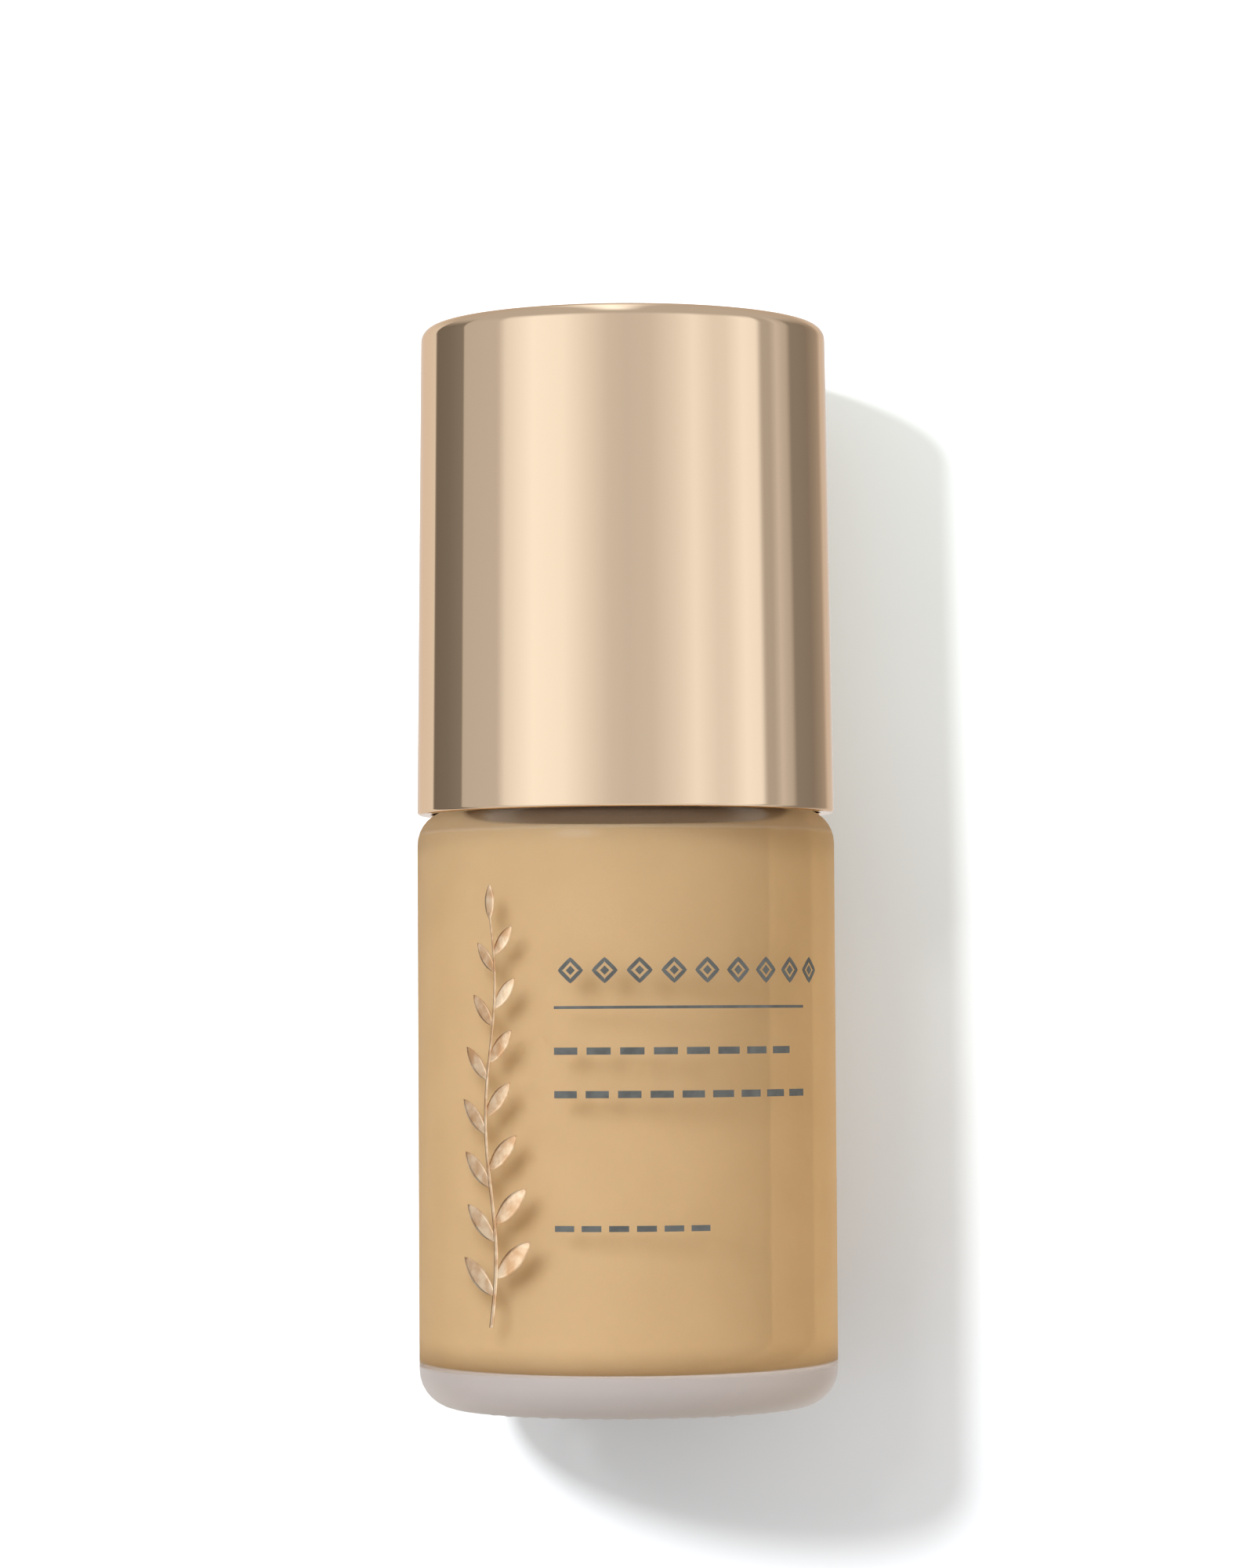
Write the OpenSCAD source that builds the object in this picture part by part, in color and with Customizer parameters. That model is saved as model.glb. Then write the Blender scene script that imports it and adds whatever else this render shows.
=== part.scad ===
// Liquid foundation bottle: a frosted glass bottle with a heavy base, a treatment pump screwed on its neck,
// and a metallised over-cap that clicks on the pump's collar.
// Millimetres, +Z up, origin at the centre of the base.

/* [Glass bottle] */
// Outer diameter of the glass body
bottle_d = 36; // [33:0.5:46]
// Height of the body, from the base to the shoulder plane
body_h = 51.4; // [46:0.2:64]
// Wall thickness of the body
wall_t = 3.8; // [2.6:0.1:4.8]
// Thickness of the glass below the fill
base_t = 3.6; // [2.4:0.1:6]
// Thickness of the shoulder
shoulder_t = 2; // [1.6:0.1:3]
// Radius of the outer corners at the base and the shoulder
corner_r = 3; // [1.6:0.1:4]
// Radius of the inner corners
inner_corner_r = 2.4; // [1:0.1:3]
// Diameter of the recess in the base
recess_d = 26; // [22:0.5:27]
// Depth of the recess in the base
recess_depth = 0.6; // [0.4:0.1:1.2]
// Height of the fill's surface below the inside of the shoulder
headspace = 0.5; // [0.4:0.1:6]

/* [Neck finish] */
// Neck diameter below the thread
neck_d = 15.6; // [15.2:0.1:18.8]
// Height of the neck above the shoulder plane
neck_h = 15.2; // [13:0.1:18.4]
// Diameter of the neck's bore, which the pump housing fits
neck_bore_d = 11; // [10.6:0.1:13.2]
// How far the thread stands out of the neck
thread_depth = 1; // [0.7:0.05:1.1]
// Rise of the thread in one turn
thread_pitch = 3.175; // [2.6:0.025:3.4]
// Turns of thread
thread_turns = 1.75; // [1:0.25:2]
// How far the transfer bead below the thread stands out of the neck
bead_out = 0.8; // [0.5:0.05:1]

/* [Over-cap] */
// Room between the pump head and the inside of the cap
head_room = 1.3; // [0.8:0.1:6]
// How far each side of the shell leans in over its height
cap_draft = 0.5; // [0:0.05:0.7]
// Wall thickness of the shell at the rim
cap_rim_t = 1.15; // [0.9:0.05:1.3]
// Wall thickness of the shell above the rim
cap_wall_t = 1.6; // [1.4:0.05:2]
// Thickness of the shell's top
cap_top_t = 1.4; // [1:0.1:2]
// Radius round the top edge of the shell
cap_edge_r = 1.2; // [0.6:0.1:1.3]
// How far the rim hangs below the shoulder plane
rim_drop = 0.4; // [0.2:0.05:0.5]
// Number of ribs that centre the liner in the shell
liner_ribs = 12; // [6:1:18]
// Wall thickness of the liner
liner_t = 1.1; // [0.8:0.1:1.3]

/* [Closure and collar] */
// Gap between the screw closure and the metallised collar, which ribs bridge
collar_gap = 1.3; // [0.8:0.1:1.4]
// Wall thickness of the collar
collar_t = 0.9; // [0.6:0.05:1]
// Wall thickness of the screw closure
closure_t = 1.25; // [1:0.05:1.5]
// Thickness of the closure's top web
web_t = 1.4; // [1:0.1:2]
// Number of ribs between the closure and the collar
closure_ribs = 24; // [12:2:30]

/* [Pump] */
// Travel of the pump head
stroke = 4.8; // [3:0.1:5.8]
// Length of the dosing chamber, from the top of the housing's flange
chamber_l = 22; // [20:0.2:24]
// Wall thickness of the pump housing
housing_t = 1.1; // [0.8:0.05:1.2]
// Thickness of the housing's flange
flange_t = 1.4; // [1:0.1:2]
// Thickness of the neck gasket
gasket_t = 1; // [0.6:0.1:1.6]
// Outer diameter of the stem
stem_d = 4.4; // [4:0.1:4.6]
// Diameter of the stem's bore
stem_bore_d = 2.6; // [2:0.1:2.8]
// Lost motion of the piston on the stem, which opens the outlet
piston_slip = 0.8; // [0.5:0.1:1.2]
// Height of the piston seal
piston_h = 4; // [3:0.1:4.4]
// Diameter of the inlet ball
ball_d = 3.2; // [2.8:0.1:3.6]
// How far the inlet ball lifts off its seat
ball_lift = 1.2; // [0.6:0.1:1.6]
// Outer diameter of the dip tube
tube_d = 3.5; // [3:0.1:4]
// Wall thickness of the dip tube
tube_t = 0.55; // [0.4:0.05:0.7]
// Diameter of the spring's wire
wire_d = 0.45; // [0.35:0.05:0.5]
// Mean diameter of the spring
spring_d = 5.4; // [5:0.1:5.8]
// Turns of the spring
spring_turns = 7; // [5:0.5:8]

/* [Pump head] */
// Diameter of the head
head_d = 16; // [14:0.2:16.4]
// Height of the head's shell
head_h = 12.4; // [11:0.1:13]
// Wall thickness of the head's shell
head_t = 0.8; // [0.6:0.05:1]
// Diameter of the spout
spout_d = 5; // [4.4:0.1:5.2]
// How far the nozzle stands back from the collar's outside, so that the cap passes it
nozzle_inset = 0.4; // [0.2:0.1:1]
// Diameter of the nozzle's orifice
orifice_d = 1.2; // [0.8:0.1:1.6]

/* [Decoration] */
// Thickness of the foil and the ink
print_t = 0.05; // [0.03:0.01:0.1]
// Height of the foil sprig
sprig_h = 37; // [24:0.5:38]
// Pairs of leaves on the foil sprig
sprig_pairs = 7; // [3:1:8]
// Length of the printed rule round the body
rule_l = 23.6; // [10:0.2:30]
// Width of the printed rule
rule_w = 0.24; // [0.15:0.01:0.5]

/* [Hidden] */
$fn = 96;

// Colours
rose_gold = [0.84, 0.69, 0.56];
frosted = [0.83, 0.80, 0.78];
cream_fill = [0.82, 0.68, 0.50];
white_plastic = [0.93, 0.92, 0.90];
clear_plastic = [0.86, 0.87, 0.87];
steel = [0.66, 0.67, 0.69];
seal_grey = [0.72, 0.72, 0.71];
ink_grey = [0.29, 0.29, 0.29];
label_white = [0.95, 0.94, 0.92];

// Clearances
running = 0.06;       // radial, shaft in a guide
housing_clear = 0.6;  // radial, pump housing in the neck
seal_fit = 0.03;      // radial, piston in the chamber
swivel = 0.03;        // radial, pump head on the stem
thread_clear = 0.25;  // radial, between the two threads
fill_clear = 0.15;    // round the pump where it dips in the fill
snap_clear = 0.05;    // between the liner's snap bead and the collar
lid_clear = 0.2;      // between the liner and the collar
wet_gap = 0.05;       // between the fill and the glass
cut = 1;              // how far a cutting shape runs past the face it cuts

// Glass bottle
bottle_r = bottle_d / 2;
cavity_r = bottle_r - wall_t;
cavity_top_z = body_h - shoulder_t;
fill_top_z = cavity_top_z - headspace;
neck_r = neck_d / 2;
thread_r = neck_r + thread_depth;
lip_z = body_h + neck_h;
label_t = 0.12;
label_d = recess_d - 3;
lip_edge_r = 0.5;
bead_low_z = body_h + 1.4;
bead_h = 1.2;
bead_edge_r = 0.5;

// Thread: a trapezoid ridge on the neck, and its partner inside the closure
ridge_root_w = 1.5;
ridge_crest_w = 0.7;
ridge_bury = 0.35;
flank_gap = 0.4;      // along the axis, between the flanks that bear when the closure is tight
thread_top_z = lip_z - 1.7;
thread_low_z = thread_top_z - thread_turns * thread_pitch;
closure_bore_r = thread_r + thread_clear;
closure_crest_r = neck_r + thread_clear;
// Half widths of the two ridges at any one radius, added up
ridge_half_sum = ridge_root_w
    - (thread_depth + thread_clear + 2 * ridge_bury) * (ridge_root_w - ridge_crest_w)
    / (2 * (thread_depth + ridge_bury));
closure_ridge_shift = ridge_half_sum + flank_gap;

// Pump stack
flange_z = lip_z + gasket_t;
deck_z = flange_z + flange_t;
closure_top_z = deck_z + web_t;
collar_top_z = closure_top_z + collar_t;
closure_r = closure_bore_r + closure_t;
closure_low_z = body_h + 1;
collar_r = closure_r + collar_gap + collar_t;
collar_low_z = body_h + 0.6;
flange_r = neck_r - 0.3;
housing_r = neck_bore_d / 2 - housing_clear;
chamber_r = housing_r - housing_t;
chamber_floor_z = deck_z - chamber_l;
ball_r = ball_d / 2;
ball_room = 0.1;      // above the ball when it is lifted
grid_t = 0.6;
inlet_r = 1;
pocket_r = ball_r + 0.6;
pocket_top_z = chamber_floor_z - grid_t;
seat_gap = 0.02;
ball_rest = ball_r * sqrt(2) - inlet_r + seat_gap; // centre above the foot of the 45 degree seat
seat_z = pocket_top_z - ball_rest - ball_r - ball_lift - ball_room;
ball_z = seat_z + ball_rest;
tube_r = tube_d / 2;
socket_top_z = seat_z - 0.7;
socket_l = 5.5;
socket_low_z = socket_top_z - socket_l;
pocket_wall_r = pocket_r + housing_t;
pocket_low_z = chamber_floor_z - 1.6;
socket_wall_r = tube_r + 1;
tube_low_z = base_t + 1.2;

// Stem, piston and valve plug at the top of the stroke
stem_r = stem_d / 2;
guide_l = 6;
stop_t = 1;
stop_r = chamber_r - 0.5;
stop_z = deck_z - guide_l - stop_t;
piston_z = stop_z - piston_slip - piston_h;
plug_t = 1.2;
plug_r = chamber_r - 0.8;
plug_z = piston_z - plug_t;
ring_head_r = housing_r;
ring_head_t = 1.2;
collar_hole_r = ring_head_r + 0.3;
turret_r = stem_r + 1.8;
turret_top_z = deck_z + ring_head_t + 2.4;

// Pump head
head_r = head_d / 2;
head_low_z = collar_top_z + stroke + 0.8;
head_top_z = head_low_z + head_h;
head_top_t = 1;
post_low_z = turret_top_z + stroke + 0.4;
stem_top_z = post_low_z + 4.4;
spout_z = stem_top_z + 2.2;
spout_r = spout_d / 2;
spout_reach = collar_r - nozzle_inset;
post_r = stem_r + 1.4;
nozzle_flange_t = 0.5;
nozzle_plug_l = 2.6;
nozzle_plug_r = spout_r - 0.9;

// Over-cap
rim_z = body_h - rim_drop;
rim_relief_h = 2.4;
cap_bore_r = bottle_r - cap_wall_t;
rim_bore_r = bottle_r - cap_rim_t;
liner_top_t = 1.2;
liner_r = collar_r + lid_clear;
liner_top_z = head_top_z + head_room + liner_top_t;
cap_top_z = liner_top_z + cap_top_t;
cap_h = cap_top_z - rim_z;

// Decoration: turns from the front of the body (-Y), and depths below the shoulder
sprig_turn = -39.4;
sprig_drop = 6.7;
ink_turn = -19.6;
rule_drop = 17.2;
// Rows of lozenges: depth, number, spacing round the body, diagonal
lozenge_rows = [[14, 9, 2.9, 2.3]];
// Rows of dashes: depth, number, spacing round the body, height
dash_rows = [[20.7, 8, 2.8, 0.6], [24.3, 9, 2.7, 0.6], [35.4, 6, 2.3, 0.5]];
dash_share = 0.72;

// Angle round the body that a length on its surface takes
function arc(length) = length / bottle_r * 180 / PI;

// Half profile of a turned solid with round corners at its foot and its top
module turned(r, h, foot_r, top_r) {
    rotate_extrude() {
        translate([0, foot_r]) square([r, h - foot_r - top_r]);
        square([r - foot_r, h / 2]);
        translate([0, h / 2]) square([r - top_r, h / 2]);
        if (foot_r > 0) translate([r - foot_r, foot_r]) circle(foot_r);
        if (top_r > 0) translate([r - top_r, h - top_r]) circle(top_r);
    }
}

module tube(r_out, r_in, h) {
    difference() {
        cylinder(r = r_out, h = h);
        translate([0, 0, -cut]) cylinder(r = r_in, h = h + 2 * cut);
    }
}

// Helical ridge from a four-point [radius, height] profile. Its first two points are on the root, and the
// ridge sinks to the root at both ends.
module helical_ridge(profile, turns, pitch) {
    per_turn = 36;
    steps = round(per_turn * turns);
    fade = 3;
    function rise(i) = min(1, i / fade, (steps - i) / fade);
    function corner(i, k) =
        let (p = profile[k], root = profile[k < 2 ? k : 3 - k], s = k < 2 ? 1 : rise(i))
        [root[0] + (p[0] - root[0]) * max(s, 0.02), p[1]];
    points = [
        for (i = [0:steps]) for (k = [0:3])
            let (a = i * 360 / per_turn, c = corner(i, k))
            [c[0] * cos(a), c[0] * sin(a), c[1] + pitch * i / per_turn]
    ];
    sides = [
        for (i = [0:steps - 1]) for (k = [0:3])
            let (a = 4 * i + k, b = 4 * i + (k + 1) % 4)
            each [[a, b, a + 4], [b, b + 4, a + 4]]
    ];
    last = 4 * steps;
    ends = [[0, 2, 1], [0, 3, 2], [last, last + 1, last + 2], [last, last + 2, last + 3]];
    polyhedron(points = points, faces = concat(sides, ends));
}

module neck_thread() {
    translate([0, 0, thread_low_z])
        helical_ridge([
            [neck_r - ridge_bury, ridge_root_w / 2],
            [neck_r - ridge_bury, -ridge_root_w / 2],
            [thread_r, -ridge_crest_w / 2],
            [thread_r, ridge_crest_w / 2]
        ], thread_turns, thread_pitch);
}

module closure_thread() {
    translate([0, 0, thread_low_z - closure_ridge_shift])
        helical_ridge([
            [closure_bore_r + ridge_bury, -ridge_root_w / 2],
            [closure_bore_r + ridge_bury, ridge_root_w / 2],
            [closure_crest_r, ridge_crest_w / 2],
            [closure_crest_r, -ridge_crest_w / 2]
        ], thread_turns, thread_pitch);
}

module glass_bottle() {
    color(frosted) difference() {
        union() {
            turned(bottle_r, body_h, corner_r, corner_r);
            translate([0, 0, cavity_top_z]) turned(neck_r, lip_z - cavity_top_z, 0, lip_edge_r);
            translate([0, 0, bead_low_z]) turned(neck_r + bead_out, bead_h, bead_edge_r, bead_edge_r);
            neck_thread();
        }
        translate([0, 0, base_t])
            turned(cavity_r, cavity_top_z - base_t, inner_corner_r, inner_corner_r);
        translate([0, 0, cavity_top_z - cut]) cylinder(d = neck_bore_d, h = neck_h + shoulder_t + 2 * cut);
        translate([0, 0, -cut]) cylinder(d = recess_d, h = recess_depth + cut);
    }
}

// The space that the pump takes up in the fill
module pump_room() {
    steps = [
        [tube_low_z, tube_r], [socket_low_z, socket_wall_r],
        [socket_top_z, pocket_wall_r], [pocket_low_z, housing_r]
    ];
    for (step = steps) translate([0, 0, step[0] - fill_clear])
        cylinder(r = step[1] + fill_clear, h = cavity_top_z);
}

module foundation_fill() {
    color(cream_fill) difference() {
        intersection() {
            translate([0, 0, base_t + wet_gap])
                turned(cavity_r - wet_gap, cavity_top_z - base_t - 2 * wet_gap,
                    inner_corner_r, inner_corner_r);
            cylinder(r = bottle_r, h = fill_top_z);
        }
        pump_room();
    }
}

module shade_label() {
    color(label_white) translate([0, 0, recess_depth - label_t])
        cylinder(d = label_d, h = label_t);
}

// A thin skin on the body, cut to a flat outline that faces outwards at the given turn from the front
module on_body(turn, z) {
    intersection() {
        translate([0, 0, corner_r]) tube(bottle_r + print_t, bottle_r, body_h - 2 * corner_r);
        rotate([0, 0, turn]) translate([0, 0, z]) rotate([90, 0, 0])
            translate([0, 0, bottle_r / 2]) linear_extrude(bottle_r) children();
    }
}

// A strip round the body that starts at the given turn, with its lower edge at z
module band(turn, z, length, height) {
    translate([0, 0, z]) rotate([0, 0, turn - 90])
        rotate_extrude(angle = arc(length))
            translate([bottle_r, 0]) square([print_t, height]);
}

module leaf(length, width) {
    r = (length * length / 4 + width * width / 4) / width;
    translate([0, length / 2]) intersection() {
        translate([r - width / 2, 0]) circle(r);
        translate([width / 2 - r, 0]) circle(r);
    }
}

// A wavy stem with leaves in pairs, which get smaller towards the leaf at its tip
module sprig() {
    sway = 0.55;
    waves = 1.5;
    stem_w = 0.42;
    leaf_l = 4.9;
    leaf_w = 1.7;
    tip_l = 3;
    stalk = sprig_h - 0.8 * tip_l;
    steps = 36;
    function stem_x(t) = sway * sin(360 * waves * t);
    function side_x(t, side) = stem_x(t) + side * stem_w / 2 * (1 - 0.6 * t);
    polygon(concat(
        [for (i = [0:steps]) [side_x(i / steps, 1), stalk * i / steps]],
        [for (i = [steps:-1:0]) [side_x(i / steps, -1), stalk * i / steps]]
    ));
    translate([stem_x(1), sprig_h - tip_l]) leaf(tip_l, leaf_w * 0.6);
    for (i = [1:sprig_pairs], side = [-1, 1]) {
        t = (i - 0.25 + side * 0.16) / (sprig_pairs + 0.7);
        size = 1 - 0.42 * t;
        translate([stem_x(t), stalk * t]) rotate(-side * (50 - 14 * t))
            leaf(leaf_l * size, leaf_w * size);
    }
}

module foil_sprig() {
    color(rose_gold) on_body(sprig_turn, body_h - sprig_drop - sprig_h) sprig();
}

module ink_frieze() {
    color(ink_grey) {
        band(ink_turn, body_h - rule_drop, rule_l, rule_w);
        for (row = lozenge_rows, i = [0:row[1] - 1])
            on_body(ink_turn + arc((i + 0.5) * row[2]), body_h - row[0])
                rotate(45) square(row[3] / sqrt(2), center = true);
        for (row = dash_rows, i = [0:row[1] - 1])
            band(ink_turn + arc(i * row[2]), body_h - row[0] - row[3] / 2,
                row[2] * dash_share, row[3]);
    }
}

module cap_shell() {
    lean = atan(cap_draft / cap_h);
    edge_z = cap_h - cap_edge_r;
    edge_x = bottle_r - edge_z * tan(lean) - cap_edge_r / cos(lean);
    lip = 0.3;
    color(rose_gold) translate([0, 0, rim_z]) difference() {
        rotate_extrude() {
            polygon([
                [0, 0], [bottle_r - lip, 0], [bottle_r - lip * tan(lean), lip],
                [edge_x + cap_edge_r * cos(lean), edge_z + cap_edge_r * sin(lean)],
                [edge_x, cap_h], [0, cap_h]
            ]);
            translate([edge_x, edge_z]) circle(cap_edge_r);
        }
        translate([0, 0, -cut]) cylinder(r = cap_bore_r, h = cap_h - cap_top_t + cut);
        translate([0, 0, -cut]) cylinder(r = rim_bore_r, h = rim_relief_h + cut);
    }
}

// The liner's bore, less the snap bead that grips the collar
module liner_bore() {
    bead_section_r = 0.5;
    bead_z = 5.6;
    difference() {
        translate([0, 0, body_h - cut])
            cylinder(r = liner_r, h = liner_top_z - liner_top_t - body_h + cut);
        translate([0, 0, body_h + bead_z]) rotate_extrude()
            translate([collar_r + snap_clear + bead_section_r, 0]) circle(bead_section_r);
    }
}

module cap_liner() {
    rib_t = 1;
    rib_low_z = rim_z + rim_relief_h + 0.6;
    color(white_plastic) difference() {
        union() {
            translate([0, 0, body_h]) cylinder(r = liner_r + liner_t, h = liner_top_z - body_h);
            translate([0, 0, liner_top_z - liner_top_t]) cylinder(r = cap_bore_r, h = liner_top_t);
            intersection() {
                cylinder(r = cap_bore_r, h = liner_top_z);
                for (i = [0:liner_ribs - 1]) rotate(i * 360 / liner_ribs)
                    translate([liner_r + liner_t / 2, -rib_t / 2, rib_low_z])
                        cube([bottle_r, rib_t, liner_top_z - rib_low_z]);
            }
        }
        liner_bore();
    }
}

module screw_closure() {
    rib_t = 0.8;
    rib_low_z = closure_low_z + 0.6;
    color(white_plastic) difference() {
        union() {
            translate([0, 0, closure_low_z]) cylinder(r = closure_r, h = closure_top_z - closure_low_z);
            intersection() {
                cylinder(r = collar_r - collar_t, h = closure_top_z);
                for (i = [0:closure_ribs - 1]) rotate(i * 360 / closure_ribs)
                    translate([closure_r - collar_gap / 2, -rib_t / 2, rib_low_z])
                        cube([collar_r, rib_t, closure_top_z - rib_low_z]);
            }
        }
        difference() {
            translate([0, 0, closure_low_z - cut])
                cylinder(r = closure_bore_r, h = deck_z - closure_low_z + cut);
            closure_thread();
        }
        cylinder(r = collar_hole_r, h = closure_top_z + cut);
    }
}

module collar_sleeve() {
    edge_r = 0.6;
    color(rose_gold) difference() {
        translate([0, 0, collar_low_z]) turned(collar_r, collar_top_z - collar_low_z, 0, edge_r);
        translate([0, 0, collar_low_z - cut])
            cylinder(r = collar_r - collar_t, h = closure_top_z - collar_low_z + cut);
        cylinder(r = collar_hole_r, h = collar_top_z + cut);
    }
}

module neck_gasket() {
    margin = 0.1;
    color(seal_grey) translate([0, 0, lip_z]) tube(neck_r - margin, housing_r + margin, gasket_t);
}

module pump_housing() {
    slot_w = 0.9;
    vent_d = 0.8;
    vent_drop = 5.4;
    color(clear_plastic) difference() {
        rotate_extrude() polygon([
            [0, socket_low_z], [socket_wall_r, socket_low_z],
            [socket_wall_r, socket_top_z], [pocket_wall_r, seat_z],
            [pocket_wall_r, pocket_low_z], [housing_r, chamber_floor_z - grid_t],
            [housing_r, flange_z], [flange_r, flange_z],
            [flange_r, deck_z], [0, deck_z]
        ]);
        translate([0, 0, chamber_floor_z]) cylinder(r = chamber_r, h = chamber_l + cut);
        rotate_extrude() polygon([
            [0, socket_top_z - cut], [inlet_r, socket_top_z - cut], [inlet_r, seat_z],
            [pocket_r, seat_z + pocket_r - inlet_r], [pocket_r, pocket_top_z], [0, pocket_top_z]
        ]);
        translate([0, 0, socket_low_z - cut]) cylinder(r = tube_r, h = socket_l + cut);
        for (turn = [0, 90]) rotate([0, 0, turn])
            translate([-pocket_r, -slot_w / 2, pocket_top_z - slot_w])
                cube([2 * pocket_r, slot_w, grid_t + 2 * slot_w]);
        translate([0, 0, flange_z - vent_drop]) rotate([0, 90, 0]) cylinder(d = vent_d, h = 2 * housing_r);
    }
}

module lock_ring() {
    edge_r = 0.4;
    color(white_plastic) difference() {
        union() {
            translate([0, 0, deck_z - guide_l]) cylinder(r = chamber_r, h = guide_l);
            translate([0, 0, deck_z]) cylinder(r = ring_head_r, h = ring_head_t);
            translate([0, 0, deck_z]) turned(turret_r, turret_top_z - deck_z, 0, edge_r);
        }
        translate([0, 0, deck_z - guide_l - cut])
            cylinder(r = stem_r + running, h = turret_top_z - deck_z + guide_l + 2 * cut);
    }
}

module dip_tube() {
    slant = 35;
    color(clear_plastic) difference() {
        translate([0, 0, tube_low_z]) tube(tube_r, tube_r - tube_t, socket_top_z - tube_low_z);
        translate([tube_r, 0, tube_low_z]) rotate([0, slant, 0])
            translate([0, 0, -tube_d]) cube([6 * tube_d, 2 * tube_d, 2 * tube_d], center = true);
    }
}

// Round wire swept along a helix whose first and last turns lie flat
module return_spring() {
    low = chamber_floor_z + wire_d / 2;
    high = plug_z - wire_d / 2;
    sides = 8;
    per_turn = 18;
    steps = round(spring_turns * per_turn);
    flat = 0.9;
    lead = 1.06 * wire_d;
    function climb(turn) =
        turn < flat ? lead * turn
        : turn > spring_turns - flat ? high - low - lead * (spring_turns - turn)
        : lead * flat + (high - low - 2 * lead * flat) * (turn - flat) / (spring_turns - 2 * flat);
    points = [
        for (i = [0:steps]) for (k = [0:sides - 1])
            let (a = i * 360 / per_turn, b = k * 360 / sides,
                r = spring_d / 2 + wire_d / 2 * cos(b))
            [r * cos(a), r * sin(a), low + climb(i / per_turn) + wire_d / 2 * sin(b)]
    ];
    skin = [
        for (i = [0:steps - 1]) for (k = [0:sides - 1])
            let (a = sides * i + k, b = sides * i + (k + 1) % sides)
            each [[a, b, a + sides], [b, b + sides, a + sides]]
    ];
    last = sides * steps;
    caps = [
        for (k = [1:sides - 2])
            each [[0, k + 1, k], [last, last + k, last + k + 1]]
    ];
    color(steel) polyhedron(points = points, faces = concat(skin, caps));
}

module inlet_ball() {
    color(steel) translate([0, 0, ball_z]) sphere(ball_r);
}

module pump_stem() {
    port_w = 1.2;
    stem_low_z = piston_z + 0.2;
    color(white_plastic) difference() {
        union() {
            translate([0, 0, stem_low_z]) cylinder(r = stem_r, h = stem_top_z - stem_low_z);
            translate([0, 0, stop_z]) cylinder(r = stop_r, h = stop_t);
        }
        translate([0, 0, stem_low_z - cut]) cylinder(d = stem_bore_d, h = stem_top_z - stem_low_z + 2 * cut);
        translate([0, 0, stem_low_z]) cube([2 * stem_d, port_w, 2 * port_w], center = true);
    }
}

module valve_plug() {
    pilot_l = 1.8;
    pilot_r = (spring_d - wire_d) / 2 - 0.3;
    pilot_edge_r = 0.4;
    core_l = 9;
    arm_t = 0.7;
    color(white_plastic) {
        translate([0, 0, plug_z]) cylinder(r = plug_r, h = plug_t);
        translate([0, 0, plug_z - pilot_l]) turned(pilot_r, pilot_l + plug_t, pilot_edge_r, 0);
        intersection() {
            translate([0, 0, plug_z]) cylinder(d = stem_bore_d, h = core_l);
            for (turn = [0, 90]) rotate([0, 0, turn + 45])
                translate([-stem_d, -arm_t / 2, plug_z]) cube([2 * stem_d, arm_t, core_l]);
        }
    }
}

module piston_seal() {
    lip_h = 1;
    waist_h = 1.5;
    seal_r = chamber_r - seal_fit;
    waist_r = seal_r - 0.6;
    color(seal_grey) translate([0, 0, piston_z]) difference() {
        rotate_extrude() polygon([
            [0, 0], [seal_r, 0], [seal_r, lip_h], [waist_r, waist_h],
            [waist_r, piston_h - waist_h], [seal_r, piston_h - lip_h],
            [seal_r, piston_h], [0, piston_h]
        ]);
        translate([0, 0, -cut]) cylinder(r = stem_r + running, h = piston_h + 2 * cut);
    }
}

// A round bar along the spout's axis, which points to the front
module spout(r, from, to) {
    translate([0, -from, spout_z]) rotate([90, 0, 0]) cylinder(r = r, h = to - from);
}

module head_core() {
    core_r = head_r - head_t;
    core_low_z = head_low_z + 0.6;
    core_top_z = head_top_z - head_top_t;
    ring_t = 1;
    plate_t = 1.1;
    channel_r = orifice_d / 2 + 0.4;
    color(white_plastic) difference() {
        union() {
            difference() {
                translate([0, 0, core_low_z]) cylinder(r = core_r, h = core_top_z - core_low_z);
                translate([0, 0, core_low_z - cut])
                    cylinder(r = core_r - ring_t, h = core_top_z - plate_t - core_low_z + cut);
            }
            translate([0, 0, post_low_z]) cylinder(r = post_r, h = core_top_z - post_low_z);
            spout(spout_r, 0, spout_reach - nozzle_flange_t);
        }
        translate([0, 0, post_low_z - cut]) cylinder(r = stem_r + swivel, h = stem_top_z - post_low_z + cut);
        cylinder(d = stem_bore_d, h = spout_z);
        spout(channel_r, 0, spout_reach);
        spout(nozzle_plug_r, spout_reach - nozzle_flange_t - nozzle_plug_l, spout_reach);
    }
}

module head_shell() {
    dish_r = 42;
    dish_depth = 0.4;
    low_edge_r = 0.2;
    top_edge_r = 0.9;
    color(rose_gold) difference() {
        translate([0, 0, head_low_z]) turned(head_r, head_h, low_edge_r, top_edge_r);
        translate([0, 0, head_low_z - cut]) cylinder(r = head_r - head_t, h = head_h - head_top_t + cut);
        spout(spout_r, 0, head_r + cut);
        translate([0, 0, head_top_z - dish_depth + dish_r]) sphere(dish_r);
    }
}

module nozzle_insert() {
    color(white_plastic) difference() {
        union() {
            spout(nozzle_plug_r, spout_reach - nozzle_flange_t - nozzle_plug_l, spout_reach);
            spout(spout_r - 0.3, spout_reach - nozzle_flange_t, spout_reach);
        }
        spout(orifice_d / 2, 0, spout_reach + cut);
    }
}

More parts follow.
